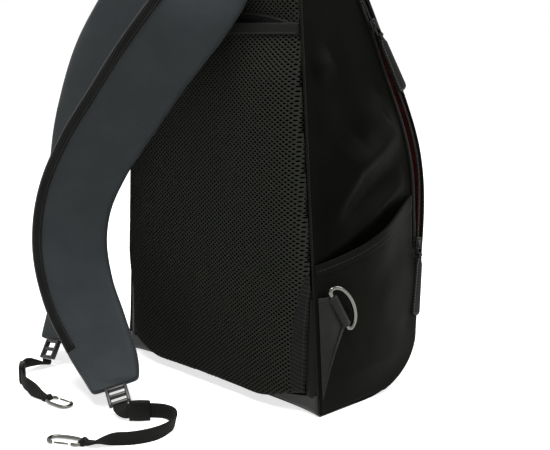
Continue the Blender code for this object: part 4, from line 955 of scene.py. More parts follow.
wing_cloth = twill_finish("black_tab_twill", WING_SHADE, WING_LIT, (0, 1, -0.6), WING_RIB, 0.02, 0.0002)
ring_metal = metal_finish("polished_gunmetal", RING_COLOUR, 0.16)
for side, sign in (("right", 1), ("left", -1)):
    mirror = Matrix.Diagonal((sign, 1.0, 1.0))
    swing = joints["d_ring_" + side + "_swing"]
    middle = mirror @ Vector(swing["pos_m"])
    bar = mirror @ Vector(swing["axis"])
    bar = (-bar if bar.z > 0 else bar).normalized()
    reach = bar.cross(Vector((1, 0, LEAN))).normalized()
    reach = reach if reach.y > 0 else -reach
    outward = reach.cross(bar)
    outward = outward if outward.x > 0 else -outward
    half = BAR_LENGTH / 2 + RING_WIRE
    lift = math.cos(RING_TILT) * reach + math.sin(RING_TILT) * outward
    points = [middle + bar * half * (i / 4 - 1) for i in range(9)]
    for i in range(49):
        angle = math.pi * i / 48
        points.append(
            middle
            + bar * (half + RING_MARGIN - RING_WIRE) * math.cos(angle)
            + lift * (RING_MARGIN / 2 + RING_DEPTH * math.sin(angle))
        )
    rope(
        "d_ring_" + side + "_wire",
        [mirror @ point for point in points],
        RING_WIRE,
        ring_metal,
        "d_ring_" + side,
        True,
        ("d_ring_" + side,),
    )
    tab_half = BAR_LENGTH / 2 - RING_WIRE

    def wing_height(u):
        """Height of the tab between its slant and its top edge."""
        return (WING_TOP - WING_BOTTOM) * (1 - u) + 2 * tab_half * u

    def wing_point(u, v, stand=0.0):
        """Point on the tab, from the back seam to the fold and from its foot to its top."""
        seam_z = WING_BOTTOM + (WING_TOP - WING_BOTTOM) * v
        seam = Vector((side_x(seam_z, -WING_SEAM_STAND), BACK_Y - 0.0006, seam_z))
        under = outward * (WING_CLOTH / 2 - FOLD_RADIUS + 0.0006)
        fold = middle + bar * tab_half * (1 - 2 * v) + under
        bow = math.sin(math.pi * u)
        hollow = bar * WING_HOLLOW * bow * (1 - v) ** 2
        return seam.lerp(fold, u) + outward * (WING_WAIST * bow + WING_CLOTH / 2 + stand) - hollow

    def band_point(u, v):
        return wing_point(u, v * WING_BAND / wing_height(u), BAND_STAND)

    edit = sheet(28, 32, lambda u, v: mirror @ wing_point(u, v), (sign, 0, 0))
    tab = make_piece("wing_" + side + "_tab", edit, wing_cloth, "pack", ("wing_" + side,))
    thicken(tab, WING_CLOTH)
    edit = sheet(40, 4, lambda u, v: mirror @ band_point(u, v), (sign, 0, 0))
    thicken(make_piece("wing_" + side + "_binding", edit, wing_cloth, "pack"), BAND_STAND)
    edit = bmesh.new()
    axis = (mirror @ bar).to_track_quat("Z", "X").to_matrix().to_4x4()
    bmesh.ops.create_cone(
        edit,
        cap_ends=True,
        segments=28,
        radius1=FOLD_RADIUS,
        radius2=FOLD_RADIUS,
        depth=2 * tab_half,
        matrix=Matrix.Translation(mirror @ middle) @ axis,
    )
    rims = [item for item in edit.edges if item.calc_face_angle(0.0) > math.radians(60)]
    bmesh.ops.bevel(edit, geom=rims, offset=0.0010, segments=3, profile=0.5, affect="EDGES", material=-1)
    make_piece("wing_" + side + "_fold", edit, wing_cloth, "pack")
    edit = bmesh.new()
    stitch_row(edit, [mirror @ (band_point(i / 40, 0.8) + outward * 0.0002) for i in range(1, 40)])
    for inset in TOP_ROWS:
        row = [wing_point(i / 40, 1 - inset / wing_height(i / 40), 0.0002) for i in range(2, 36)]
        stitch_row(edit, [mirror @ point for point in row])
    make_piece("wing_" + side + "_thread", edit, thread, "pack")


# Back: a smooth twill backing sewn over the board, with a thin piping round its edge.
# Two pads of foam lie on it under black spacer mesh: a short one at the shoulders, and below it a
# long sleeve, open at the top, that slips over a suitcase handle; its lower corners are cut round.

SLEEVE_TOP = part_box("back_sleeve")[1].z
PAD_FOOT, PAD_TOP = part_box("back_pad")[0].z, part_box("back_pad")[1].z
BACK_MARGIN = 0.0015
BACKING_OUT = 0.0008
PIPING = 0.0014
SLEEVE_INSETS = ((0.0, 0.0150), (0.025, 0.0129), (0.078, 0.0066), (0.118, 0.0005), (0.125, 0.0))
NET_INSETS = ((0.0, 0.0225), (0.024, 0.0219), (0.087, 0.0148), (0.112, 0.0078), (0.142, 0.0))
FOOT_MIDDLE, FOOT_CORNER = 0.0064, 0.0205
FOOT_RISE_START, FOOT_RISE_END = 0.075, 0.137
FOOT_ROLL = 0.013
SLEEVE_STAND, SLEEVE_CROWN = 0.0137, 0.0078
MOUTH_CLOSES = 0.315
PAD_STAND, PAD_CROWN = 0.0018, 0.0055
PAD_HEM, PAD_HEM_FALL = 0.3728, 0.0140
HEM_SHARE = 0.2
FOAM_WALL = 0.0034
NET_HALF_X, NET_HALF_Z = 0.0029, 0.0022
HOLE_X, HOLE_Z = 0.00130, 0.00098
HOLE_SINK = 0.0009
NET_ROW = 2 * NET_HALF_X * NET_HALF_Z / math.hypot(NET_HALF_X, NET_HALF_Z)
MESH_SHADE, MESH_LIT = "#1d1e1b", "#393b36"
PRESSED_SHADE, PRESSED_LIT = "#121312", "#2b2d2b"
# The foam is black, and set near black with no shine: its own colour plus painted shade, so the mesh holes read as
# deep shade.
FOAM_AND_HOLE_SHADE_COLOUR = "#040404"
BACKING_SHADE, BACKING_LIT = "#121311", "#1c1d1b"
PRESSED_TOP, PRESSED_LIFT = 0.139, 0.0009
CORNER_FILL = 0.0034
FOAM_PRESSURE = 3.0
FOAM_SWELL = 0.0015


def back_half(z):
    """Half width of the back inside its piping, rounded under the top corners."""
    radius = CORNER_RADIUS - BACK_MARGIN
    if z <= ARCH_Z + radius * math.sin(LEAN_ANGLE):
        return side_x(z, BACK_MARGIN)
    rise = min(z - ARCH_Z, radius)
    return ARCH_X + math.sqrt(max(0.0, radius * radius - rise * rise))


def sleeve_half(z):
    """Half width of the sleeve, drawn in at its lower corners."""
    return back_half(z) - steady_curve(SLEEVE_INSETS, z)


def net_half(z):
    """Half width of the sleeve's open mesh, inside its pressed edge."""
    return back_half(z) - steady_curve(NET_INSETS, z)


def sleeve_foot(x):
    """Height of the sleeve's lower edge, which rises over the sole's corners."""
    return FOOT_MIDDLE + (FOOT_CORNER - FOOT_MIDDLE) * smooth_step(FOOT_RISE_START, FOOT_RISE_END, abs(x))


def pad_hem(x):
    """Height of the upper pad's hem, which falls towards both sides."""
    return PAD_HEM - PAD_HEM_FALL * min(1.0, abs(x) / back_half(PAD_HEM)) ** 3


def rounded_edge(share):
    """Rise of a padded edge, steep at the seam and level inside."""
    return (1 - min(1.0, abs(share)) ** 6) ** 0.45


def sleeve_out(x, z):
    """Stand of the sleeve's face: full in its middle, rolled under at its foot, closed at its mouth's ends."""
    share = (z - FOOT_MIDDLE) / (SLEEVE_TOP - FOOT_MIDDLE)
    rise = steady_curve(((0.0, 0.3), (0.25, 0.9), (0.5, 1.0), (0.75, 0.9), (1.0, HEM_SHARE)), share)
    roll = rounded_edge(1 - min(1.0, max(0.0, z - sleeve_foot(x)) / FOOT_ROLL))
    across = min(1.0, abs(x) / sleeve_half(z))
    closed = smooth_step(MOUTH_CLOSES, SLEEVE_TOP, z)
    edge = rounded_edge(across) * (1 - closed) + (1 - across**2) ** 0.8 * closed
    return BACKING_OUT + (SLEEVE_STAND + SLEEVE_CROWN * rise) * edge * roll


def pad_out(x, z):
    """Stand of the upper pad's face."""
    share = (z - PAD_FOOT) / (PAD_TOP - PAD_FOOT)
    rise = steady_curve(((0.0, HEM_SHARE), (0.3, 0.9), (0.55, 1.0), (0.8, 0.8), (1.0, 0.0)), share)
    return BACKING_OUT + (PAD_STAND + PAD_CROWN * rise) * rounded_edge(x / back_half(z))


def foam_shell(half_at, foot_at, top, out_at):
    """A closed sheet of foam that follows a padded face, with close rows at its foot."""

    def outer(u, v):
        z = foot_at(0.0) + (top - foot_at(0.0)) * v**1.5
        x = half_at(z) * (2 * u - 1)
        z += (foot_at(x) - foot_at(0.0)) * (1 - v) ** 2
        return Vector((x, BACK_Y - max(BACKING_OUT, out_at(x, z) - 0.001), z))

    edit = sheet(72, 90, outer, (0, -1, 0))
    inner = bmesh.ops.duplicate(edit, geom=edit.verts[:] + edit.edges[:] + edit.faces[:])["geom"]
    for vert in [item for item in inner if isinstance(item, bmesh.types.BMVert)]:
        vert.co.y = min(vert.co.y + FOAM_WALL, BACK_Y - 0.0004)
    bmesh.ops.bridge_loops(edit, edges=[item for item in edit.edges if item.is_boundary])
    bmesh.ops.recalc_face_normals(edit, faces=edit.faces)
    return edit


def inflate(piece, pressure, cap):
    """Swell a padded piece like stuffed cloth, with each point kept near its pattern."""
    pattern = piece.data
    cloth = piece.modifiers.new("stuffing", "CLOTH")
    cloth.settings.use_pressure = True
    cloth.settings.uniform_pressure_force = pressure
    cloth.settings.effector_weights.gravity = 0.0
    cloth.point_cache.frame_start, cloth.point_cache.frame_end = 1, 20
    for step in range(1, 21):
        scene.frame_set(step)
    depsgraph = bpy.context.evaluated_depsgraph_get()
    swollen = piece.evaluated_get(depsgraph).data
    places = [vert.co.copy() for vert in swollen.vertices]
    piece.modifiers.clear()
    scene.frame_set(1)
    for vert, place in zip(pattern.vertices, places):
        move = place - vert.co
        vert.co += move * min(1.0, cap / max(move.length, 1e-9))
    return piece


def surface_of(piece):
    """Tree for finding the surface of a finished piece."""
    mesh = piece.data
    points = [vert.co for vert in mesh.vertices]
    return BVHTree.FromPolygons(points, [face.vertices for face in mesh.polygons])


def face_point(surface, out_at, x, z, lift):
    """Point just over a pad's finished face."""
    hit = surface.ray_cast(Vector((x, BACK_Y - 0.1, z)), Vector((0, 1, 0)))[0]
    base = BACK_Y - out_at(x, z) if hit is None else hit.y
    return Vector((x, base - lift, z))


def spacer_net(half_at, foot_at, top, out_at, surface):
    """Net of diamonds with a round hole in each, laid over a pad's face and trimmed to its edges."""
    foot = foot_at(0.0)
    middle = (foot + top) / 2
    cells = int(half_at(middle) / NET_HALF_X + (top - foot) / 2 / NET_HALF_Z) + 12
    edit = bmesh.new()
    bmesh.ops.create_grid(edit, x_segments=cells, y_segments=cells, size=cells / math.sqrt(2))
    bmesh.ops.rotate(edit, verts=edit.verts, cent=(0, 0, 0), matrix=Matrix.Rotation(math.pi / 4, 3, "Z"))
    for vert in edit.verts:
        vert.co = (vert.co.x * NET_HALF_X, 0.0, middle + vert.co.y * NET_HALF_Z)
    beyond = []
    for face in edit.faces:
        centre = face.calc_center_median()
        outside = centre.z < foot_at(centre.x) - NET_HALF_Z / 2 or centre.z > top + NET_HALF_Z / 2
        if outside or abs(centre.x) > half_at(centre.z) + NET_HALF_X / 2:
            beyond.append(face)
    bmesh.ops.delete(edit, geom=beyond, context="FACES")
    bmesh.ops.bisect_edges(edit, edges=edit.edges, cuts=1)
    cells = edit.faces[:]
    bmesh.ops.inset_individual(edit, faces=cells, thickness=NET_HALF_Z / 4)
    for face in cells:
        centre = face.calc_center_median()
        for vert in face.verts:
            way = vert.co - centre
            angle = math.atan2(way.z / HOLE_Z, way.x / HOLE_X)
            vert.co = centre + Vector((HOLE_X * math.cos(angle), HOLE_SINK, HOLE_Z * math.sin(angle)))
    bmesh.ops.delete(edit, geom=cells, context="FACES_ONLY")
    for vert in edit.verts:
        z = min(max(vert.co.z, foot_at(vert.co.x)), top)
        x = math.copysign(min(abs(vert.co.x), half_at(z)), vert.co.x)
        vert.co = face_point(surface, out_at, x, z, HOLE_SINK + 0.0004 - vert.co.y)
    bmesh.ops.dissolve_degenerate(edit, dist=0.00002, edges=edit.edges)
    edit.normal_update()
    facing = sum(face.normal.y for face in edit.faces)
    if facing > 0:
        bmesh.ops.reverse_faces(edit, faces=edit.faces)
    return edit


def mesh_finish():
    """Knitted spacer mesh: soft matt strands, lighter where the knit stands up."""
    made, tree, shader, place = new_finish("black_spacer_mesh")
    knit = add_node(tree, "TexNoise", {"Vector": place, "Scale": 900.0, "Detail": 2.0})
    tone = add_node(
        tree,
        "Mix",
        {0: knit.outputs[0], 6: linear(MESH_SHADE), 7: linear(MESH_LIT)},
        data_type="RGBA",
    )
    bump = add_node(tree, "Bump", {"Height": knit.outputs[0], "Strength": 0.4, "Distance": 0.0003})
    tree.links.new(tone.outputs[2], shader.inputs["Base Color"])
    tree.links.new(bump.outputs[0], shader.inputs["Normal"])
    shader.inputs["Roughness"].default_value = 0.8
    shader.inputs["Specular IOR Level"].default_value = CLOTH_GLOSS
    return made


def backing_point(u, v):
    x, z = 0.0, POCKET_FOOT + (PACK_HEIGHT - BACK_MARGIN - POCKET_FOOT) * v
    x = back_half(z) * (2 * u - 1)
    return Vector((x, BACK_Y - BACKING_OUT, z))


backing_twill = twill_finish("black_backing_twill", BACKING_SHADE, BACKING_LIT, (1, 0, -1), 0.0014, 0.03, 0.0001)
make_piece("back_backing", sheet(40, 80, backing_point, (0, -1, 0)), backing_twill, "pack")
edge_line = []
for i in range(241):
    x, z = outline_point(i / 240, POCKET_FOOT, 0.0004)
    edge_line.append(Vector((x, BACK_Y - 0.0006, z)))
rope("back_piping", edge_line, PIPING, backing_twill, "pack")
# Foam seen through the mesh holes: its own black plus painted shade in the holes.
foam_and_hole_shade = plain_finish("black_foam_and_painted_hole_shade", FOAM_AND_HOLE_SHADE_COLOUR, 0.95, 0.0)
spacer_mesh = mesh_finish()
pressed_mesh = twill_finish(
    "pressed_spacer_mesh", PRESSED_SHADE, PRESSED_LIT, (NET_HALF_Z, 0, NET_HALF_X), NET_ROW, 0.0, 0.0006
)
pads = {}
for name, half_at, open_half, foot_at, top, out_at, nodes in (
    (
        "back_sleeve",
        sleeve_half,
        net_half,
        sleeve_foot,
        SLEEVE_TOP,
        sleeve_out,
        ("back_sleeve", "sleeve_side_right", "sleeve_side_left", "sleeve_foot"),
    ),
    ("back_pad", back_half, back_half, pad_hem, PAD_TOP, pad_out, ("back_pad",)),
):
    foam = make_piece(name + "_foam", foam_shell(half_at, foot_at, top, out_at), foam_and_hole_shade, "pack", nodes)
    inflate(foam, FOAM_PRESSURE, FOAM_SWELL)
    pads[name] = surface_of(foam)
    edit = spacer_net(open_half, foot_at, top, out_at, pads[name])
    make_piece(name + "_net", edit, spacer_mesh, "pack", sharp=180.0)
for side, sign in (("right", 1), ("left", -1)):

    def pressed_point(u, v):
        """Point on the pressed edge of the sleeve's mesh, from the open net to its seam."""
        z = sleeve_foot(net_half(0.0)) + (PRESSED_TOP - sleeve_foot(net_half(0.0))) * v
        x = net_half(z) - 0.001 + (sleeve_half(z) - net_half(z) + 0.001) * u
        return face_point(pads["back_sleeve"], sleeve_out, sign * x, z, PRESSED_LIFT)

    def corner_point(u, v):
        """Point on the filled corner between the sleeve's seam and the bag's edge."""
        z = FLANGE_CORNER - 0.003 + (PRESSED_TOP - 0.02 - FLANGE_CORNER) * v
        x = sleeve_half(z) - 0.001 + (back_half(z) - sleeve_half(z) + 0.002) * u
        return Vector((sign * x, BACK_Y - BACKING_OUT - CORNER_FILL * math.sin(math.pi * u) ** 0.7, z))

    edit = sheet(8, 70, pressed_point, (0, -1, 0))
    make_piece("sleeve_pressed_edge_" + side, edit, pressed_mesh, "pack", sharp=60.0)
    edit = sheet(10, 40, corner_point, (0, -1, 0))
    make_piece("back_corner_" + side, edit, backing_twill, "pack", sharp=60.0)
    edit = bmesh.new()
    row = [pressed_point(0.8, i / 60) - Vector((0, 0.0002, 0)) for i in range(2, 56)]
    make_piece("sleeve_pressed_thread_" + side, stitch_row(edit, row), thread, "pack")


# Hem tapes: herringbone tape folded over the free edges of the two pads, sewn with a zigzag.
# The sleeve's tape lies level, and the upper pad's tape falls behind it towards its ends.

TAPE_WIDTH = 0.0108
TAPE_THICKNESS = 0.0014
TAPE_LIFT = 0.0022
HERRING_WIDTH, HERRING_PITCH = 0.0062, 0.0024
HERRING_SHADE, HERRING_LIT = "#0d0e0d", "#2c2d2b"
ZIGZAG_STEP, ZIGZAG_WIDTH = 0.0024, 0.0016


def herringbone_finish(name, across, along):
    """Cotton tape in a herringbone: columns of slanted ribs that turn back and forth."""
    made, tree, shader, place = new_finish(name)
    column = add_node(tree, "VectorMath", {0: place, 1: across}, operation="DOT_PRODUCT")
    slant = add_node(tree, "Math", {0: column.outputs["Value"], 1: HERRING_WIDTH}, operation="PINGPONG")
    run = add_node(tree, "VectorMath", {0: place, 1: along}, operation="DOT_PRODUCT")
    phase = add_node(tree, "Math", {0: slant.outputs[0], 1: run.outputs["Value"]}, operation="ADD")
    turn = add_node(tree, "Math", {0: phase.outputs[0], 1: math.tau / HERRING_PITCH}, operation="MULTIPLY")
    wave = add_node(tree, "Math", {0: turn.outputs[0]}, operation="SINE")
    rib = add_node(tree, "MapRange", {"Value": wave.outputs[0], "From Min": -1.0})
    tone = add_node(
        tree,
        "Mix",
        {0: rib.outputs[0], 6: linear(HERRING_SHADE), 7: linear(HERRING_LIT)},
        data_type="RGBA",
    )
    bump = add_node(tree, "Bump", {"Height": rib.outputs[0], "Strength": 0.6, "Distance": 0.0003})
    tree.links.new(tone.outputs[2], shader.inputs["Base Color"])
    tree.links.new(bump.outputs[0], shader.inputs["Normal"])
    shader.inputs["Roughness"].default_value = 0.75
    shader.inputs["Specular IOR Level"].default_value = CLOTH_GLOSS
    return made


herringbone = herringbone_finish("black_herringbone_tape", (0, 0, 1), (1, 0, 0))
for name, pad, half_at, level_at, out_at, stitch_low in (
    ("sleeve_tape", "back_sleeve", sleeve_half, lambda x: SLEEVE_TOP - TAPE_WIDTH, sleeve_out, True),
    ("pad_tape", "back_pad", back_half, pad_hem, pad_out, False),
):

    def tape_point(u, v):
        x = (half_at(level_at(0.0)) - 0.0004) * (2 * u - 1)
        z = level_at(x) + TAPE_WIDTH * v
        x = math.copysign(min(abs(x), half_at(z) - 0.0004), x)
        return face_point(pads[pad], out_at, x, z, TAPE_LIFT)

    edit = sheet(120, 6, tape_point, (0, -1, 0))
    tape = make_piece(name + "_herringbone", edit, herringbone, "pack", (name,))
    thicken(tape, TAPE_THICKNESS)
    edit = bmesh.new()
    count = int(2 * half_at(level_at(0.0)) / ZIGZAG_STEP)
    corners = []
    for i in range(count + 1):
        share = (0.06 if i % 2 else 0.06 + ZIGZAG_WIDTH / TAPE_WIDTH)
        share = share if stitch_low else 1 - share
        corners.append(tape_point(0.01 + 0.98 * i / count, share) - Vector((0, 0.0002, 0)))
    for start, end in zip(corners, corners[1:]):
        stitch_row(edit, [start, end], (end - start).length, 0.001, 0.0007)
    make_piece(name + "_thread", edit, thread, "pack")


# Strap anchor: a patch of coated nylon above the upper pad, box-stitched through both straps.

ANCHOR_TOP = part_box("strap_anchor")[1].z
ANCHOR_OUT = 0.0020


def anchor_point(u, v):
    z = PAD_TOP - 0.002 + (ANCHOR_TOP - PAD_TOP + 0.002) * v
    return Vector((back_half(z) * (2 * u - 1), BACK_Y - ANCHOR_OUT - 0.001 * math.sin(math.pi * v), z))


anchor = make_piece(
    "strap_anchor_patch", sheet(40, 10, anchor_point, (0, -1, 0)), coated_black, "pack", ("strap_anchor",)
)
thicken(anchor, 0.0012)


# Shoulder straps: twill over foam, broad at the shoulder and narrowed at the lower end.
# Both are sewn into the anchor and lie unhooked, swung to the left; the right one has herringbone
# tape along its inner edge, drawn as plain slanted ribs.  Points are (x, distance out from the back seam, height,
# width direction).

SEAM_OUT = 0.0052
SEAM_HEIGHT = 0.462
SEAM_SPREAD = 0.046
ALONG_X = (1.0, 0.0, 0.0)
STRAP_ROUTES = {
    "right": (
        (SEAM_SPREAD, SEAM_OUT, SEAM_HEIGHT, ALONG_X),
        (0.046, 0.0115, 0.447, ALONG_X),
        (0.046, 0.0200, 0.430, (0.96, 0.10, -0.12)),
        (0.040, 0.0360, 0.406, (0.84, 0.30, -0.38)),
        (0.027, 0.054, 0.378, (0.66, 0.52, -0.55)),
        (-0.010, 0.072, 0.330, (0.57, 0.58, -0.57)),
        (-0.044, 0.083, 0.286, (0.60, 0.60, -0.52)),
        (-0.078, 0.093, 0.242, (0.63, 0.63, -0.42)),
        (-0.104, 0.101, 0.194, (0.67, 0.67, -0.28)),
        (-0.110, 0.106, 0.145, (0.70, 0.71, 0.00)),
        (-0.094, 0.108, 0.098, (0.68, 0.68, 0.20)),
        (-0.062, 0.110, 0.060, (0.66, 0.66, 0.36)),
        (-0.032, 0.115, 0.035, (0.68, 0.68, 0.26)),
        (-0.008, 0.125, 0.021, (0.70, 0.70, 0.10)),
    ),
    "left": (
        (-SEAM_SPREAD, SEAM_OUT, SEAM_HEIGHT, ALONG_X),
        (-0.046, 0.0115, 0.447, ALONG_X),
        (-0.056, 0.0200, 0.430, (0.97, 0.05, -0.22)),
        (-0.076, 0.0310, 0.406, (0.88, 0.10, -0.46)),
        (-0.104, 0.040, 0.370, (0.84, 0.10, -0.52)),
        (-0.136, 0.047, 0.326, (0.84, 0.10, -0.52)),
        (-0.160, 0.052, 0.272, (0.92, 0.10, -0.36)),
        (-0.174, 0.056, 0.214, (0.97, 0.10, -0.20)),
        (-0.180, 0.059, 0.156, (0.99, 0.10, 0.00)),
        (-0.178, 0.063, 0.104, (0.99, 0.10, 0.05)),
        (-0.174, 0.074, 0.056, ALONG_X),
        (-0.168, 0.094, 0.026, ALONG_X),
    ),
}
STRAP_WIDTH, STRAP_END_WIDTH = 0.080, 0.046
STRAP_STUFFING, STRAP_SEWN = 0.0116, 0.0058
STRAP_TAPER = 0.7
STRAP_STEPS = 96
STRAP_PRESSURE = 4.0
STRAP_SWELL = 0.0010
STRAP_SHADE, STRAP_LIT = "#2f3234", "#44484a"
STRAP_RIB = 0.0018
EDGE_TAPE, TAPE_ROWS = 0.011, (0.0016, 0.0092)


def route_frames(route, steps):
    """Points, width directions, face directions and tangents along a smooth curve through a route."""
    points = [Vector((x, BACK_Y - out, z)) for x, out, z, _ in route]
    widths = [Vector(width) for *_, width in route]
    last = len(route) - 1
    frames = []
    for i in range(steps + 1):
        place = last * i / steps
        index = min(int(place), last - 1)
        t = place - index
        tangent = spline_value(points, index, min(1.0, t + 0.02))
        tangent -= spline_value(points, index, max(0.0, t - 0.02))
        tangent.normalize()
        width = widths[index].lerp(widths[index + 1], t)
        width = (width - tangent * width.dot(tangent)).normalized()
        frames.append((spline_value(points, index, t), width, tangent.cross(width).normalized(), tangent))
    return frames


def spline_value(points, index, t):
    """Point on the smooth curve through points, between two neighbours."""
    before = points[max(index - 1, 0)]
    start, end = points[index], points[index + 1]
    after = points[min(index + 2, len(points) - 1)]
    lean_in, lean_out = (end - before) / 2, (after - start) / 2
    return (
        start * (2 * t**3 - 3 * t**2 + 1)
        + end * (3 * t**2 - 2 * t**3)
        + lean_in * (t**3 - 2 * t**2 + t)
        + lean_out * (t**3 - t**2)
    )


def strap_half(share):
    """Half width of a strap along its length."""
    taper = max(0.0, share - STRAP_TAPER) / (1 - STRAP_TAPER)
    return (STRAP_WIDTH + (STRAP_END_WIDTH - STRAP_WIDTH) * taper * taper) / 2


def sweep(edit, rings):
    """A closed solid through a row of rings of points."""
    loops = []
    for ring in rings:
        verts = [edit.verts.new(point) for point in ring]
        loops.append([edit.edges.new((a, b)) for a, b in zip(verts, verts[1:] + verts[:1])])
    for low, high in zip(loops, loops[1:]):
        bmesh.ops.bridge_loops(edit, edges=low + high)
    for end in (loops[0], loops[-1]):
        bmesh.ops.contextual_create(edit, geom=end)
    bmesh.ops.recalc_face_normals(edit, faces=edit.faces)
    return edit


def oval_ring(centre, width, face, half_width, half_thickness, count, fullness):
    """Ring of a flat padded strip, full in its middle and rounded at its edges."""
    ring = []
    for i in range(count):
        angle = math.tau * i / count
        a, b = math.cos(angle), math.sin(angle)
        a = math.copysign(abs(a) ** fullness, a)
        b = math.copysign(abs(b) ** fullness, b)
        ring.append(centre + width * half_width * a + face * half_thickness * b)
    return ring


def padded_ring(centre, width, face, half_width, half_thickness):
    """Ring of a foam strip with level faces and round edges."""
    flat = half_width - half_thickness
    ring = []
    for way in (1, -1):
        for i in range(9):
            angle = math.pi * (i / 8 - 0.5)
            across = flat + half_thickness * math.cos(angle)
            ring.append(centre + way * (width * across + face * half_thickness * math.sin(angle)))
        for i in range(1, 9):
            ring.append(centre + way * (width * flat * (1 - 2 * i / 9) + face * half_thickness))
    return ring


strap_twill = twill_finish("black_strap_twill", STRAP_SHADE, STRAP_LIT, (0.37, 0.38, 0.85), STRAP_RIB, 0.12, 0.0002)
strap_tape = twill_finish(
    "strap_edge_tape", HERRING_SHADE, HERRING_LIT, (0.61, 0.62, -0.5), HERRING_PITCH, 0.05, 0.0003
)
straps = {}
for side in ("right", "left"):
    node, body = "strap_" + side, "strap_" + side
    frames = route_frames(STRAP_ROUTES[side], STRAP_STEPS)
    rings = []
    for i, (centre, width, face, _) in enumerate(frames):
        share = i / STRAP_STEPS
        ends = min(1.0, 14 * share, 14 * (1 - share))
        thick = STRAP_SEWN + (STRAP_STUFFING - STRAP_SEWN) * ends
        rings.append(padded_ring(centre, width, face, strap_half(share), thick / 2))
    strap = make_piece(node + "_pad", sweep(bmesh.new(), rings), strap_twill, body, (node,), 60.0)
    inflate(strap, STRAP_PRESSURE, STRAP_SWELL)
    straps[side] = (frames, surface_of(strap))
    round_off(strap, 1)

    def on_strap(i, across, lift):
        """Point over the outer face of the strap at a step, across its width from -1 to 1."""
        centre, width, face, _ = frames[i]
        base = centre + width * across
        hit = straps[side][1].ray_cast(base + face * 0.03, -face)[0]
        return (base + face * STRAP_STUFFING / 2 if hit is None else hit) + face * lift

    if side == "right":
        last = int(STRAP_STEPS * 0.86)

        def edge_tape(u, v):
            i = 3 + round((last - 3) * v)
            return on_strap(i, -strap_half(i / STRAP_STEPS) + 0.0015 + EDGE_TAPE * u, 0.0013)

        edit = sheet(6, last - 3, edge_tape, (0, -1, 0))
        thicken(make_piece(node + "_edge_tape", edit, strap_tape, body), 0.0012)
        edit = bmesh.new()
        for row in TAPE_ROWS:
            stitch_row(edit, [edge_tape(row / EDGE_TAPE, i / (last - 3)) for i in range(last - 2)])
        make_piece(node + "_thread", edit, thread, body)


# Adjusters: moulded ladder-locks sewn to the narrow ends of the straps by a loop of webbing.
# Each is a frame of two rails and three bars, and the free webbing grips under the middle bar.

ADJUSTER_LENGTH, ADJUSTER_WIDTH, ADJUSTER_THICKNESS = 0.022, 0.022, 0.0056
RAIL_WIDTH = 0.0034
BAR_DEPTH = 0.0036
PLASTIC_COLOUR = "#171716"

moulded = plain_finish("moulded_black_nylon", PLASTIC_COLOUR, 0.38, 0.4)
for side in ("right", "left"):
    centre, width, face, tangent = straps[side][0][-1]
    turn = Matrix((width, tangent, face)).transposed().to_4x4()
    bars = [(sign * (ADJUSTER_WIDTH - RAIL_WIDTH) / 2, ADJUSTER_LENGTH / 2, RAIL_WIDTH, ADJUSTER_LENGTH) for sign in (-1, 1)]
    for along in (BAR_DEPTH / 2, ADJUSTER_LENGTH / 2, ADJUSTER_LENGTH - BAR_DEPTH / 2):
        bars.append((0.0, along, ADJUSTER_WIDTH - RAIL_WIDTH, BAR_DEPTH))
    edit = bmesh.new()
    for across, along, wide, deep in bars:
        thick = ADJUSTER_THICKNESS if deep == ADJUSTER_LENGTH else 0.8 * ADJUSTER_THICKNESS
        place = Matrix.Translation(centre + width * across + tangent * along) @ turn
        cube = bmesh.ops.create_cube(edit, size=1.0, matrix=place @ Matrix.Diagonal((wide, deep, thick, 1.0)))
        edges = {item for vert in cube["verts"] for item in vert.link_edges}
        bmesh.ops.bevel(edit, geom=list(edges), offset=0.0009, segments=3, profile=0.5, affect="EDGES", material=-1)
    make_piece("adjuster_" + side + "_lock", edit, moulded, "strap_" + side, ("adjuster_" + side,))


# Webbing: flat woven nylon from each adjuster along the floor to a snap hook, with a leather keeper.
# It is harness webbing that lies on edge where it turns; its end turns flat, narrows and is sewn back
# in a hem round the hook's cross bar.

UPRIGHT = (0.0, 0.0, 1.0)
WEBBING_ROUTES = {
    "right": (
        (0.0290, 0.1374, 0.0104, UPRIGHT),
        (0.0363, 0.1291, 0.0104, UPRIGHT),
        (0.0436, 0.1209, 0.0104, UPRIGHT),
        (0.0520, 0.1130, 0.0098, UPRIGHT),
        (0.0640, 0.1110, 0.0090, (0.05, 0.20, 0.98)),
        (0.0770, 0.1190, 0.0088, (0.25, 0.10, 0.96)),
        (0.0850, 0.1340, 0.0086, (0.30, -0.10, 0.95)),
        (0.0870, 0.1520, 0.0086, (0.15, -0.25, 0.95)),
        (0.0800, 0.1720, 0.0086, (0.10, -0.30, 0.95)),
        (0.0650, 0.1880, 0.0086, (0.10, -0.20, 0.97)),
        (0.0480, 0.1980, 0.0086, UPRIGHT),
    ),
    "left": (
        (-0.1590, 0.1335, 0.0104, (0.50, 0.00, 0.86)),
        (-0.1500, 0.1450, 0.0104, UPRIGHT),
        (-0.1370, 0.1530, 0.0104, UPRIGHT),
        (-0.1240, 0.1610, 0.0104, UPRIGHT),
        (-0.1080, 0.1660, 0.0092, UPRIGHT),
        (-0.0900, 0.1660, 0.0086, UPRIGHT),
        (-0.0740, 0.1640, 0.0086, UPRIGHT),
    ),
}
WEBBING_WIDTH, WEBBING_THICKNESS = 0.015, 0.0018
WEBBING_STEPS = 144
KEEPER_SHARES = {"right": 6 / 24, "left": 12 / 24}
KEEPER_LENGTH = 0.020
KEEPER_HALF = (0.0098, 0.0033)
HEM_LENGTH = 0.032
HEM_HALF, HEM_RADIUS = 0.0047, 0.0036
HOOK_WIRE, HOOK_LEVEL = 0.0022, 0.0025
WEBBING_SHADE, WEBBING_LIT = "#121312", "#2a2b2a"

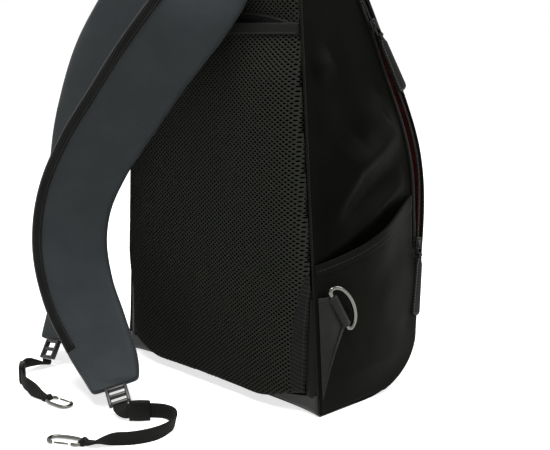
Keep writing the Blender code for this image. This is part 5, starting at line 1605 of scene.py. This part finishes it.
webbing_weave = herringbone_finish("black_nylon_webbing", (0, 0, 1), (0.7, 0.7, 0))
for side in ("right", "left"):
    centre, width, _, tangent = straps[side][0][-1]
    start = centre + tangent * (ADJUSTER_LENGTH + 0.0006)
    lead = []
    for point in (start, start + tangent * ADJUSTER_LENGTH / 4):
        lead.append((point.x, BACK_Y - point.y, point.z, tuple(width)))
    frames = route_frames(lead + list(WEBBING_ROUTES[side]), WEBBING_STEPS)
    end, _, _, tangent = frames[-1]
    along = Vector((tangent.x, tangent.y, 0)).normalized()
    across = Vector((-along.y, along.x, 0))
    rings = []
    for centre, width, face, tangent in frames:
        turn = max(0.0, 1 - (end - centre).length / HEM_LENGTH)
        turn = turn * turn * (3 - 2 * turn)
        width = width * math.cos(turn * math.pi / 2) + across * math.sin(turn * math.pi / 2)
        half = WEBBING_WIDTH / 2 + (HEM_HALF - WEBBING_WIDTH / 2) * turn
        place = Vector((centre.x, centre.y, centre.z + (HOOK_LEVEL - centre.z) * turn))
        thick = WEBBING_THICKNESS / 2 * (1 + turn)
        rings.append(oval_ring(place, width, tangent.cross(width), half, thick, 12, 0.4))
    weave = sweep(bmesh.new(), rings)
    bar = Vector((end.x, end.y, HOOK_LEVEL)) + along * HOOK_LEVEL
    rings = []
    for share, swell in ((-1, 0.86), (-0.92, 1.0), (0.92, 1.0), (1, 0.86)):
        ring = []
        for i in range(24):
            angle = math.tau * i / 24
            point = bar + across * HEM_HALF * share
            point += (along * math.cos(angle) + Vector((0, 0, math.sin(angle)))) * HEM_RADIUS * swell
            point.z = max(point.z, HOOK_LEVEL - HOOK_WIRE)
            ring.append(point)
        rings.append(ring)
    sweep(weave, rings)
    node, body = "webbing_" + side, "strap_" + side
    make_piece(node + "_weave", weave, webbing_weave, body, (node,), 60.0)
    centre, width, face, tangent = frames[round(KEEPER_SHARES[side] * WEBBING_STEPS)]
    rings = []
    for along, inset in ((-1, 0.0006), (-0.94, 0.0), (0, -0.0004), (0.94, 0.0), (1, 0.0006)):
        place = centre + tangent * along * KEEPER_LENGTH / 2
        rings.append(oval_ring(place, width, face, KEEPER_HALF[0] - inset, KEEPER_HALF[1] - inset, 28, 0.5))
    node = "keeper_" + side
    make_piece(node + "_leather", sweep(bmesh.new(), rings), black_leather, body, (node,), 60.0)


# Snap hooks: bent steel wire in gunmetal plate, each closed by a thinner sprung gate.

for side in ("right", "left"):
    for node, body in (("hook_" + side, "strap_" + side), ("hook_gate_" + side, "hook_gate_" + side)):
        round_off(make_piece(node + "_wire", node_copy(node), ring_metal, body, (node,), 80.0), 2)


# Grab handle: a folded leather strip over foam, sewn down at both ends on the top panel.

HANDLE_SPAN, HANDLE_RISE = 0.090, 0.032
HANDLE_WIDTH, HANDLE_THICKNESS = 0.018, 0.0044
HANDLE_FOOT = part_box("grab_handle")[0].z
HANDLE_Y = (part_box("grab_handle")[0].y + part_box("grab_handle")[1].y) / 2

rings = []
for i in range(49):
    angle = math.pi * i / 48
    outward = Vector((math.cos(angle), 0, math.sin(angle)))
    centre = Vector((HANDLE_SPAN / 2 * outward.x, HANDLE_Y, HANDLE_FOOT + HANDLE_RISE * max(0.0, outward.z) ** 0.8))
    half = HANDLE_WIDTH / 2
    rings.append(oval_ring(centre, Vector((0, 1, 0)), outward, half, HANDLE_THICKNESS / 2, 24, 0.5))
handle = make_piece(
    "grab_handle_leather", sweep(bmesh.new(), rings), black_leather, "pack", ("grab_handle",), 60.0
)
